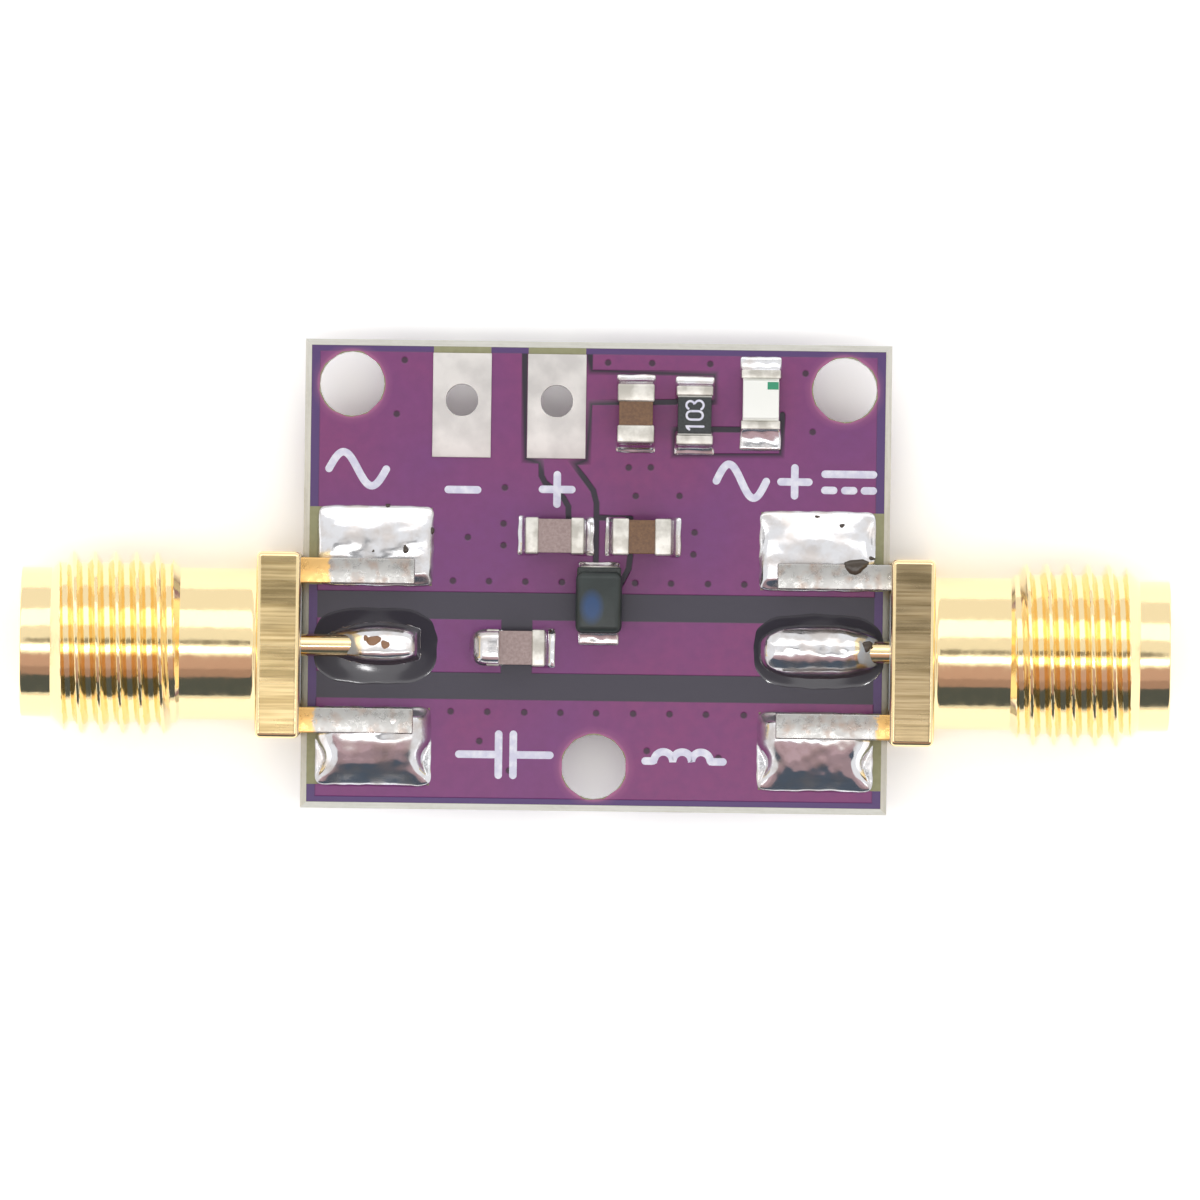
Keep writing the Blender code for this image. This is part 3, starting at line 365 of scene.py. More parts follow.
def mesh_of(name, points, faces):
    """A mesh from points in millimetres, with points in one place merged."""
    mesh = bpy.data.meshes.new(name)
    mesh.from_pydata((np.asarray(points, float).reshape(-1, 3) * MM).tolist(), [], faces)
    bm = bmesh.new()
    bm.from_mesh(mesh)
    bmesh.ops.remove_doubles(bm, verts=bm.verts, dist=MERGED * MM)
    bm.to_mesh(mesh)
    bm.free()
    return mesh


def linked(name, data):
    """An object for some data, in the scene."""
    made = bpy.data.objects.new(name, data)
    bpy.context.scene.collection.objects.link(made)
    return made


def place_mesh(name, mesh, material, slot, *nodes, sharp=40):
    """A finished mesh as a piece that rides with the board, in place of CAD nodes."""
    mesh.materials.clear()
    mesh.materials.append(material)
    mesh.shade_smooth()
    mesh.set_sharp_from_angle(angle=math.radians(sharp))
    piece = linked(name, mesh)
    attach(piece, "root")
    if nodes:
        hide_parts(*nodes)


def new_piece(name, points, faces, material, slot, *nodes, sharp=40):
    """A piece from points in millimetres, in place of CAD nodes."""
    place_mesh(name, mesh_of(name, points, faces), material, slot, *nodes, sharp=sharp)


def show(node, material):
    """A CAD node that keeps its shape, in a new finish."""
    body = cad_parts[node]
    if not body.material_slots:
        body.data.materials.append(material)
    for entry in body.material_slots:
        entry.material = material


def grid_faces(rows, columns, wrap_rows=False, wrap_columns=False, start=0):
    """Quads between a grid's points, with the last row or column joined to the first."""
    index = start + np.arange(rows * columns).reshape(rows, columns)
    if wrap_rows:
        index = np.vstack([index, index[:1]])
    if wrap_columns:
        index = np.hstack([index, index[:, :1]])
    corners = (index[:-1, :-1], index[:-1, 1:], index[1:, 1:], index[1:, :-1])
    return np.stack(corners, axis=-1).reshape(-1, 4).tolist()


def capped(rows, columns, start=0):
    """A tube's quads, and one face over each of its ends."""
    faces = grid_faces(rows, columns, wrap_columns=True, start=start)
    ring = start + np.arange(columns)
    return faces + [ring[::-1].tolist(), (ring + (rows - 1) * columns).tolist()]


def softened(profile, radius, steps=4):
    """A profile whose corners are rounded.

    Each corner becomes a parabola between the points one radius, or under half a side, away."""
    profile = np.array(profile, float)
    rounded = [profile[:1]]
    for before, corner, after in zip(profile, profile[1:], profile[2:]):
        back = before - corner
        ahead = after - corner
        reach = min(radius, 0.45 * np.hypot(*back), 0.45 * np.hypot(*ahead))
        first = corner + back * reach / np.hypot(*back)
        last = corner + ahead * reach / np.hypot(*ahead)
        t = np.linspace(0, 1, steps)[:, None]
        rounded.append((1 - t) ** 2 * first + 2 * t * (1 - t) * corner + t**2 * last)
    rounded.append(profile[-1:])
    return np.vstack(rounded)


def rounded_block(low, high, radius, steps=4):
    """A box with round edges: a ball's surface, its eighths moved apart to the box's corners."""
    low = np.array(low, float)
    high = np.array(high, float)
    quarter = np.linspace(0, TURN / 4, steps + 1)
    lon = np.concatenate([quarter + k * TURN / 4 for k in range(4)])
    lat = np.concatenate([quarter - TURN / 4, quarter])
    quadrant = np.repeat(np.arange(4), steps + 1)
    side_x = np.where((quadrant == 0) | (quadrant == 3), 1, -1)
    side_y = np.where(quadrant < 2, 1, -1)
    side_z = np.repeat([-1, 1], steps + 1)
    half = (high - low) / 2 - radius
    x = side_x * half[0] + radius * np.cos(lat)[:, None] * np.cos(lon)
    y = side_y * half[1] + radius * np.cos(lat)[:, None] * np.sin(lon)
    z = (side_z * half[2] + radius * np.sin(lat))[:, None] + 0 * lon
    points = np.stack([x, y, z], axis=-1) + (low + high) / 2
    return points, capped(*points.shape[:2])


def block_piece(name, low, high, radius, material, slot, *nodes):
    """A piece in the shape of a box with round edges."""
    new_piece(name, *rounded_block(low, high, radius), material, slot, *nodes)


def circle(centre, radius, count):
    """Points round a circle on the board."""
    angle = np.linspace(0, TURN, count, endpoint=False)
    return np.stack([centre[0] + radius * np.cos(angle), centre[1] + radius * np.sin(angle)], -1)


def pillar(centre, radius, bottom, top, count=48):
    """A plain upright cylinder."""
    ring = circle(centre, radius, count)
    points = np.vstack([np.column_stack([ring, np.full(count, z)]) for z in (bottom, top)])
    return points, capped(2, count)


def waves(x, y, length, seed, count=7):
    """Unevenness from about -1 to 1: sine waves of about one length in random directions."""
    random = np.random.default_rng(seed)
    turns, phases = random.uniform(0, TURN, (2, count))
    sizes = random.uniform(0.7, 1.4, count)
    total = 0 * x
    for turn, phase, size in zip(turns, phases, sizes):
        along = x * math.cos(turn) + y * math.sin(turn)
        total = total + np.sin(TURN * along / (length * size) + phase)
    return total / math.sqrt(count)


def smooth_step(value):
    """A soft rise from 0 to 1: the clipped value's square times three less twice the value."""
    value = np.clip(value, 0, 1)
    return value * value * (3 - 2 * value)


def tool(name, points, faces):
    """An object for a Boolean, which is removed after its use."""
    return linked(name, mesh_of(name, points, faces))


def combined(base, *steps):
    """The mesh of an object after unions and differences with tools. All are removed."""
    for operation, other in steps:
        modifier = base.modifiers.new(other.name, "BOOLEAN")
        modifier.operation = operation
        modifier.solver = "EXACT"
        modifier.object = other
    evaluated = base.evaluated_get(bpy.context.evaluated_depsgraph_get())
    mesh = bpy.data.meshes.new_from_object(evaluated)
    for thing in [base] + [other for _, other in steps]:
        bpy.data.objects.remove(thing)
    return mesh


# Jacks

def round_axis(distance, radius, angle, facing):
    """Points at a distance out along a jack's axis, at a radius and an angle round it."""
    x = facing * (FLANGE_BACK + distance + 0 * angle)
    y = AXIS_Y + facing * radius * np.cos(angle)
    z = AXIS_Z + radius * np.sin(angle)
    return np.stack(np.broadcast_arrays(x, y, z), axis=-1)


def turned(profile, segments, facing):
    """A profile of distances and radii, carried round a jack's axis."""
    angle = np.linspace(0, TURN, segments, endpoint=False)
    return round_axis(profile[:, :1], profile[:, 1:] + 0 * angle, angle, facing)


def jack_box(facing, near, far, half_y, half_z, y=AXIS_Y, z=AXIS_Z):
    """The corners of a box between two distances along a jack's axis."""
    ends = sorted([facing * (FLANGE_BACK + near), facing * (FLANGE_BACK + far)])
    return (ends[0], y - half_y, z - half_z), (ends[1], y + half_y, z + half_z)


def thread_radius(distance, angle):
    """The thread's radius: root to crest and back once a pitch, along a right-hand helix."""
    turn = (distance / THREAD_PITCH - angle / TURN) % 1
    from_crest = np.abs(2 * turn - 1)
    # The crest is flat over an eighth of the pitch, and the root over a quarter.
    crest, root = 0.125, 0.75
    flank = np.clip((root - from_crest) / (root - crest), 0, 1)
    rise = 0.65 * flank + 0.35 * smooth_step(flank)
    return THREAD_RADIUS - THREAD_DEPTH * (1 - rise)


def barrel_surface(facing):
    """The barrel's outside, its lip and its bore, as rings round the jack's axis.

    Where it is threaded, a ring's radius is the least of the thread, the slope up from the
    neck and the slope down to the pilot."""
    angle = np.linspace(0, TURN, ROUND, endpoint=False)
    inside = FLANGE_THICKNESS / 2
    thread_from = FLANGE_THICKNESS + NECK_LENGTH
    pilot_from = JACK_LENGTH - PILOT_LENGTH
    neck = [
        (inside, NECK_RADIUS + NECK_FILLET),
        (FLANGE_THICKNESS, NECK_RADIUS + NECK_FILLET),
        (FLANGE_THICKNESS + NECK_FILLET, NECK_RADIUS),
        (thread_from, NECK_RADIUS),
    ]
    front = [
        (pilot_from, PILOT_RADIUS),
        (JACK_LENGTH, PILOT_RADIUS),
        (JACK_LENGTH, SOCKET_RADIUS + SOCKET_LEAD),
        (JACK_LENGTH - SOCKET_LEAD, SOCKET_RADIUS),
        (SOCKET_FLOOR, SOCKET_RADIUS),
        (SOCKET_FLOOR, BORE_RADIUS),
        (inside, BORE_RADIUS),
    ]
    distance = np.linspace(thread_from, pilot_from, 170)[1:-1]
    up = NECK_RADIUS + distance - thread_from
    down = PILOT_RADIUS + pilot_from - distance
    envelope = np.minimum(up, down)[:, None]
    threaded = np.minimum(envelope, thread_radius(distance[:, None], angle))
    points = np.concatenate([
        turned(softened(neck, NECK_FILLET), ROUND, facing),
        round_axis(distance[:, None], threaded, angle, facing),
        turned(softened(front, LIP_EDGE), ROUND, facing),
    ])
    return points, grid_faces(*points.shape[:2], wrap_rows=True, wrap_columns=True)


def read(data, attribute, width=3):
    """One attribute of all a mesh's points or faces, as an array."""
    values = np.empty(len(data) * width)
    data.foreach_get(attribute, values)
    return values.reshape(-1, width)


def add_jack_body(side_name, facing, wetted_rear, wetted_front):
    """Flange, legs and threaded barrel as one body, with each face in its own finish.

    The flange's flat faces are milled, its rounded edges polished, and the legs tinned as far
    out as the last two numbers say."""
    half = FLANGE_SIDE / 2
    corners = jack_box(facing, 0, FLANGE_THICKNESS, half, half)
    flange = tool("flange", *rounded_block(*corners, FLANGE_EDGE, steps=6))
    hole = turned(np.array([(-1, BORE_RADIUS), (FLANGE_THICKNESS + 1, BORE_RADIUS)]), ROUND, facing)
    steps = [("DIFFERENCE", tool("bore", hole, capped(*hole.shape[:2])))]
    for side in (-1, 1):
        for level, z in ((-1, BOARD_BOTTOM - SEAT - LEG_HEIGHT / 2), (1, BOARD_TOP + SEAT + LEG_HEIGHT / 2)):
            y = AXIS_Y + side * LEG_SPACING / 2
            corners = jack_box(facing, -LEG_LENGTH, FLANGE_THICKNESS / 2, LEG_WIDTH / 2, LEG_HEIGHT / 2, y, z)
            steps.append(("UNION", tool(f"leg_{side}_{level}", *rounded_block(*corners, LEG_EDGE))))
    steps.append(("UNION", tool("barrel", *barrel_surface(facing))))
    mesh = combined(flange, *steps)
    place_mesh(f"{side_name}_jack_shell", mesh, TURNED_GOLD, "gold_plated_brass", f"{side_name}_jack_body")
    mesh.materials.append(MILLED_GOLD)
    mesh.materials.append(LEG_TIN)
    x, y, z = read(mesh.polygons, "center").T / MM
    distance = facing * x - FLANGE_BACK
    radius = np.hypot(y - AXIS_Y, z - AXIS_Z)
    flat = np.abs(read(mesh.polygons, "normal")).max(axis=1) > SQUARE
    beside_neck = radius > NECK_RADIUS + NECK_FILLET + NEAR
    milled = (distance < FLANGE_THICKNESS + NEAR) & beside_neck & flat
    finish_index = np.where(distance < -NEAR, 2, np.where(milled, 1, 0))
    mesh.polygons.foreach_set("material_index", finish_index.astype(np.int32))
    rear = read(mesh.vertices, "co")[:, 1] > AXIS_Y * MM
    wetted = mesh.attributes.new("wetted_to", "FLOAT", "POINT")
    stops = np.where(rear, wetted_rear, wetted_front).astype(np.float32) * MM
    wetted.data.foreach_set("value", stops)


def add_contact(side_name, facing):
    """The turned contact: a bored, slotted socket in front and a solder tail behind."""
    floor = SOCKET_FLOOR - CONTACT_BORE_DEPTH
    profile = [
        (floor - DRILL_POINT, 0.0),
        (floor, CONTACT_BORE),
        (SOCKET_FLOOR - CONTACT_EDGE, CONTACT_BORE),
        (SOCKET_FLOOR, CONTACT_BORE + CONTACT_EDGE),
        (SOCKET_FLOOR, CONTACT_RADIUS),
        (CONTACT_SHOULDER, CONTACT_RADIUS),
        (CONTACT_SHOULDER, TAIL_RADIUS),
        (-LEG_LENGTH, TAIL_RADIUS),
        (-LEG_LENGTH, 0.0),
    ]
    points = turned(softened(profile, CONTACT_EDGE)[::-1], 64, facing)
    pin = tool("pin", points, grid_faces(*points.shape[:2], wrap_columns=True))
    steps = []
    for halves in ((CONTACT_RADIUS + 1, SLOT_WIDTH / 2), (SLOT_WIDTH / 2, CONTACT_RADIUS + 1)):
        corners = jack_box(facing, SOCKET_FLOOR - SLOT_LENGTH, SOCKET_FLOOR + 1, *halves)
        steps.append(("DIFFERENCE", tool("slot", *rounded_block(*corners, 0.01, steps=1))))
    mesh = combined(pin, *steps)
    node = f"{side_name}_jack_contact"
    place_mesh(f"{side_name}_jack_pin", mesh, TURNED_GOLD, "gold_plated_contact", node)


def add_sleeve(side_name, facing):
    """The fluoropolymer sleeve, stepped where the contact's tail begins."""
    outer = BORE_RADIUS - SEAT
    around = CONTACT_RADIUS + SEAT
    tail = TAIL_RADIUS + SEAT
    step = 1.0
    corners = [(step, around), (SOCKET_FLOOR, around), (SOCKET_FLOOR, outer), (0.0, outer), (0.0, tail),
               (step, tail), (step, around)]
    points = turned(softened(corners, 0.03)[::-1], 96, facing)
    faces = grid_faces(*points.shape[:2], wrap_columns=True)
    name = f"{side_name}_jack_sleeve"
    new_piece(name, points, faces, FLUOROPOLYMER, "fluoropolymer", f"{side_name}_jack_insulator")


# The board's printed layers

# Lines without copper round the DC net, as (x, y) points.
LINE_WIDTH = 0.2
CLEARANCE_LINES = [
    [(-2.53, 7.6), (-2.53, 3.93), (-1.92, 3.93), (-1.91, 3.43), (-1.79, 3.19), (-1.16, 2.69),
     (-0.98, 2.38), (-0.97, 1.96)],
    [(-0.31, 7.6), (-0.31, 6.95), (4.01, 7.0), (4.0, 6.0), (3.79, 6.0)],
    [(2.62, 5.99), (-0.31, 5.95), (-0.31, 3.9), (-0.9, 3.9), (-0.46, 3.37), (-0.14, 2.94),
     (-0.02, 2.51), (-0.02, 2.02), (1.15, 2.0)],
    [(-0.02, 2.02), (-0.02, 0.3)],
    [(0.8, -0.3), (1.1, 0.3), (1.15, 0.75)],
    [(3.9, 5.08), (4.87, 5.08)],
    [(2.75, 5.06), (2.53, 5.06), (2.54, 4.14), (6.28, 4.19), (6.27, 5.61)],
]
# The dark band without copper each side of the RF line, and the line's two lengths in it.
BAND = ((-9.9, -4.23), (9.9, -0.57))
TRACES = [((-9.5, -3.31), (-3.21, -1.51)), ((-2.15, -3.31), (9.5, -1.51))]
POUR = ((-POUR_X, -POUR_Y), (POUR_X, POUR_Y))
SHEET = ((-MASK_X, -MASK_Y), (MASK_X, MASK_Y))
VIAS = [(x, -0.2) for x in (-4.88, -3.65, -2.41, -1.16, 1.32, 2.55, 3.81, 5.05)]
VIAS += [(x, -4.65) for x in (-4.9, -3.65, -2.39, -1.16, 0.06, 1.32, 2.56, 3.8, 5.09)]
VIAS += [
    (-6.62, 7.3), (-6.87, 5.46), (-3.15, 3.0), (-3.18, 1.77), (-3.17, 1.03), (-4.39, 1.29),
    (0.31, 7.3), (1.81, 7.3), (3.79, 7.3), (7.04, 7.02), (7.31, 5.03), (1.06, 3.74),
    (1.81, 3.75), (1.31, 2.77), (2.8, 2.79), (3.33, 1.55), (3.3, 0.8), (1.8, -5.91),
    (4.24, -6.12), (-3.91, -5.65), (-2.88, -6.64),
]
VIA_RADIUS = 0.14
VIA_SLOPE = 0.05
# The share of the copper's height that a via's dimple takes away.
DIMPLE = 0.85
# The mask round a mounting hole: its distance from the edge, and how far the red glow reaches.
RIM_GAP = 0.04
RIM_REACH = 0.28
WIRE_HOLE = 0.55
WIRE_HOLE_Y = 5.97
HOLE_PLATING = 0.08
PAD_EDGE = 0.025
# Where the mask is left open: the legs' lands, out past the board's end, and the wire pads.
LAND_INNER = 5.6
LAND_ROWS = [(-0.38, 2.28), (-7.18, -4.54)]
OPENINGS = []
for low_y, high_y in LAND_ROWS:
    OPENINGS.append(((-MASK_X - 1, low_y), (-LAND_INNER, high_y)))
    OPENINGS.append(((LAND_INNER, low_y), (MASK_X + 1, high_y)))
OPENINGS += [((-5.63, 4.05), (-3.67, MASK_Y + 1)), ((-2.4, 4.05), (-0.44, MASK_Y + 1))]


def box_depth(x, y, low, high):
    """How deep a point lies inside a rectangle, negative outside."""
    return np.minimum(np.minimum(x - low[0], high[0] - x), np.minimum(y - low[1], high[1] - y))


def line_distance(x, y, line):
    """The distance from each point to the nearest stretch of a line."""
    nearest = np.full(np.shape(x), np.inf)
    for (x0, y0), (x1, y1) in zip(line, line[1:]):
        dx, dy = x1 - x0, y1 - y0
        share = np.clip(((x - x0) * dx + (y - y0) * dy) / (dx * dx + dy * dy), 0, 1)
        nearest = np.minimum(nearest, np.hypot(x - x0 - share * dx, y - y0 - share * dy))
    return nearest


def nearest_of(x, y, centres):
    """The distance from each point to the nearest of several centres."""
    return np.min([np.hypot(x - cx, y - cy) for cx, cy in centres], axis=0)


def plain_copper(x, y):
    """How deep a point of the underside lies in its unbroken pour."""
    return box_depth(x, y, *POUR)


def top_copper(x, y):
    """How deep a point of the top lies in copper: in the pour or a trace, off every gap."""
    traces = np.maximum(*[box_depth(x, y, *trace) for trace in TRACES])
    depth = np.minimum(plain_copper(x, y), np.maximum(-box_depth(x, y, *BAND), traces))
    for line in CLEARANCE_LINES:
        depth = np.minimum(depth, line_distance(x, y, line) - LINE_WIDTH / 2)
    return depth


def rectangle(low, high, grow=0.0):
    """A rectangle's corners, moved out on all sides."""
    x = (low[0] - grow, high[0] + grow)
    y = (low[1] - grow, high[1] + grow)
    return np.array([(x[0], y[0]), (x[1], y[0]), (x[1], y[1]), (x[0], y[1])])


def ribbon(line, half):
    """The outline of a line of some width, its points moved out along mitred normals and its
    ends half circles."""
    line = np.array(line, float)
    along = np.diff(line, axis=0)
    along /= np.hypot(*along.T)[:, None]
    normal = np.stack([-along[:, 1], along[:, 0]], -1)
    mitre = normal[:-1] + normal[1:]
    mitre /= (1 + np.sum(normal[:-1] * normal[1:], axis=1))[:, None]
    offset = half * np.vstack([normal[:1], mitre, normal[-1:]])
    head = math.atan2(-along[0, 1], -along[0, 0])
    tail = math.atan2(along[-1, 1], along[-1, 0])
    fan = np.linspace(-TURN / 4, TURN / 4, 7)[1:-1]
    first = line[0] + half * np.stack([np.cos(head + fan), np.sin(head + fan)], -1)
    last = line[-1] + half * np.stack([np.cos(tail + fan), np.sin(tail + fan)], -1)
    return np.vstack([(line - offset), last, (line + offset)[::-1], first])


def mask_layer(name, copper, outlines, up):
    """The solder mask over one face of the board, as one closed sheet.

    Every outline is a constraint of one triangulation. A point's height follows from how
    deep it lies in copper and in a via's dimple."""
    rings = [rectangle(*SHEET)]
    rings += [rectangle(low, high) for low, high in OPENINGS]
    for centre in HOLES:
        rings += [circle(centre, HOLE_RADIUS + RIM_GAP + share * RIM_REACH, 40) for share in (0, 0.3, 1)]
    rings += outlines
    for centre in VIAS:
        rings += [circle(centre, VIA_RADIUS, 12), circle(centre, VIA_RADIUS - VIA_SLOPE, 12)]
    count = 0
    edges = []
    for ring in rings:
        index = count + np.arange(len(ring))
        edges += np.stack([index, np.roll(index, -1)], -1).tolist()
        count += len(ring)
    found = delaunay_2d_cdt([tuple(point) for point in np.vstack(rings)], edges, [], 0, 1e-5)
    points = np.array([tuple(point) for point in found[0]])
    faces = np.array(found[2])
    x, y = points[faces].mean(axis=1).T
    inside = (box_depth(x, y, *SHEET) > 0) & (nearest_of(x, y, HOLES) > HOLE_RADIUS)
    for low, high in OPENINGS:
        inside &= box_depth(x, y, low, high) < 0
    used, faces = np.unique(faces[inside], return_inverse=True)
    points = points[used]
    faces = faces.reshape(-1, 3)
    x, y = points.T
    on_copper = smooth_step((copper(x, y) + EDGE_SLOPE) / (2 * EDGE_SLOPE))
    hollow = 1 - smooth_step((nearest_of(x, y, VIAS) - VIA_RADIUS + VIA_SLOPE) / VIA_SLOPE)
    from_hole = nearest_of(x, y, HOLES) - HOLE_RADIUS
    shares = {
        "copper": on_copper,
        "hollow": hollow,
        "margin": smooth_step(-plain_copper(x, y) / EDGE_SLOPE),
        "hole_rim": np.clip(1 - from_hole / RIM_REACH, 0, 1) ** 3,
        "broad_gap": smooth_step(box_depth(x, y, *BAND) / EDGE_SLOPE + 1),
    }
    height = MASK_LOW + (MASK_HIGH - MASK_LOW) * on_copper * (1 - DIMPLE * hollow)
    base = BOARD_TOP if up > 0 else BOARD_BOTTOM
    total = len(points)
    upper = np.column_stack([points, base + up * height])
    lower = np.column_stack([points, np.full(total, base + up * MASK_LOW / 4)])
    sides = np.concatenate([faces[:, [0, 1]], faces[:, [1, 2]], faces[:, [2, 0]]])
    _, index, uses = np.unique(np.sort(sides, axis=1), axis=0, return_inverse=True, return_counts=True)
    rim = sides[uses[index.reshape(-1)] == 1]
    walls = np.stack([rim[:, 1], rim[:, 0], rim[:, 0] + total, rim[:, 1] + total], -1)
    if up < 0:
        faces = faces[:, ::-1]
        walls = walls[:, ::-1]
    every = faces.tolist() + (faces[:, ::-1] + total).tolist() + walls.tolist()
    mesh = mesh_of(name, np.vstack([upper, lower]), every)
    for attribute, values in shares.items():
        layer = mesh.attributes.new(attribute, "FLOAT", "POINT")
        layer.data.foreach_set("value", np.tile(values, 2).astype(np.float32))
    place_mesh(name, mesh, MASK, "board", sharp=12)


def add_board():
    """The laminate keeps its CAD solid. The mask lies on both faces."""
    show("circuit_board", LAMINATE)
    slopes = (-EDGE_SLOPE, EDGE_SLOPE)
    outlines = [rectangle(*area, grow) for grow in slopes for area in (POUR, BAND, *TRACES)]
    outlines += [ribbon(line, LINE_WIDTH / 2 + grow) for line in CLEARANCE_LINES for grow in slopes]
    mask_layer("upper_mask", top_copper, outlines, 1)
    mask_layer("lower_mask", plain_copper, [rectangle(*POUR, grow) for grow in slopes], -1)


def add_wire_pad(sign):
    """A square-cornered pad on both faces, joined by the plating of its hole."""
    low, high = node_box(f"dc_pad_{sign}")
    hole = ((low[0] + high[0]) / 2, WIRE_HOLE_Y)
    bottom, top = BOARD_BOTTOM + SEAT, BOARD_TOP - SEAT
    upper = tool("upper", *rounded_block((low[0], low[1], top), high, PAD_EDGE, steps=2))
    lower = tool("lower", *rounded_block(low, (high[0], high[1], bottom), PAD_EDGE, steps=2))
    plating = tool("plating", *pillar(hole, WIRE_HOLE + HOLE_PLATING, bottom, top))
    bore = tool("bore", *pillar(hole, WIRE_HOLE, low[2] - 1, high[2] + 1))
    mesh = combined(upper, ("UNION", lower), ("UNION", plating), ("DIFFERENCE", bore))
    place_mesh(f"wire_pad_{sign}", mesh, PAD_TIN, "tinned_copper", f"dc_pad_{sign}", sharp=30)


# Legend

INK_WIDTH = 0.26
INK_HEIGHT = 0.015


def stroke(path, width, floor, height):
    """Ink along a path: a low arch across it, narrowed to half a circle at both ends."""
    path = np.array(path, float)
    steps = np.hypot(*np.diff(path, axis=0).T)
    reach = np.concatenate([[0], np.cumsum(steps)])
    half = width / 2
    ends = half * np.sin(np.linspace(-TURN / 4, 0, 6))
    middle = np.linspace(0, reach[-1], max(3, int(reach[-1] / 0.05)))[1:-1]
    along = np.concatenate([ends, middle, reach[-1] - ends[::-1]])
    past = along - np.clip(along, 0, reach[-1])
    half_width = np.sqrt(np.maximum(half**2 - past**2, (0.05 * half) ** 2))
    direction = np.diff(path, axis=0) / steps[:, None]
    heading = 0
    for shift in (0, half / 2, -half / 2):
        segment = np.searchsorted(reach, along + shift, side="right") - 1
        heading = heading + direction[np.clip(segment, 0, len(steps) - 1)]
    heading /= np.hypot(*heading.T)[:, None]
    x = np.interp(along, reach, path[:, 0]) + past * heading[:, 0]
    y = np.interp(along, reach, path[:, 1]) + past * heading[:, 1]
    across = np.cos(np.linspace(TURN / 2, 0, 9))
    edge_x = x[:, None] - heading[:, 1:] * half_width[:, None] * across
    edge_y = y[:, None] + heading[:, :1] * half_width[:, None] * across
    level = floor + height * np.sqrt(1 - across**4) + 0 * edge_x
    points = np.stack([edge_x, edge_y, level], axis=-1)[:, ::-1]
    return points.reshape(-1, 3), capped(*points.shape[:2])


def drawn(name, paths, width, floor, height, material, slot):
    """One piece from several strokes. Each lies a hair above the one before, where they cross."""
    points = []
    faces = []
    total = 0
    for number, path in enumerate(paths):
        more, sides = stroke(path, width, floor, height * (1 + 0.04 * number))
        points.append(more)
        faces += [[index + total for index in side] for side in sides]
        total += len(more)
    new_piece(name, np.vstack(points), faces, material, slot)


def arc(centre, radius, start, end, count=16):
    """Points round an arc, its angles in degrees."""
    angle = np.radians(np.linspace(start, end, count))
    return [(centre[0] + radius * math.cos(a), centre[1] + radius * math.sin(a)) for a in angle]


def sine(low, high, count=40):
    """One full wave that fills a rectangle."""
    share = np.linspace(0, 1, count)
    x = low[0] + (high[0] - low[0]) * share
    y = (low[1] + high[1]) / 2 + (high[1] - low[1]) / 2 * np.sin(TURN * share)
    return list(zip(x, y))


def add_legend():
    """Plain electrical signs: waves, polarity marks, a capacitor and a coil."""
    coil = [(1.75, -6.25), (2.05, -6.25)]
    for x in (2.37, 3.01, 3.65):
        coil += arc((x, -6.25), 0.32, 180, 0)[1:]
    signs = {
        "legend_wave": [sine((-9.15, 3.0), (-7.2, 4.15))],
        "legend_minus": [[(-5.08, 2.91), (-4.08, 2.91)]],
        "legend_plus": [[(-1.87, 2.96), (-0.87, 2.96)], [(-1.37, 2.46), (-1.37, 3.46)]],
        "legend_wave_with_feed": [
            sine((4.05, 2.75), (5.75, 3.9)),
            [(6.25, 3.32), (7.2, 3.32)],
            [(6.72, 2.85), (6.72, 3.8)],
            [(7.75, 3.6), (9.4, 3.6)],
            [(7.75, 3.05), (8.05, 3.05)],
            [(8.43, 3.05), (8.73, 3.05)],
            [(9.1, 3.05), (9.4, 3.05)],
        ],
        "legend_capacitor": [
            [(-4.6, -6.1), (-3.25, -6.1)],
            [(-3.25, -6.8), (-3.25, -5.4)],
            [(-2.75, -6.8), (-2.75, -5.4)],
            [(-2.75, -6.1), (-1.5, -6.1)],
        ],
        "legend_coil": [coil + [(4.4, -6.25)]],
    }
    for name, paths in signs.items():
        drawn(name, paths, INK_WIDTH, BOARD_TOP + MASK_HIGH, INK_HEIGHT, INK, "board")


# Solder

SOLDER_FLOOR = BOARD_TOP + SEAT
# A leg's land: its thinnest solder, its start and length, and its reach out and in from the leg.
FILM = 0.05
LAND_FROM_FLANGE = 0.52
LAND_LENGTH = 3.95
LAND_OUTER = 2.24
LAND_INNER_SIDE = 0.52
# The grid's step in the small pools at the chips.
FINE_STEP = 0.022


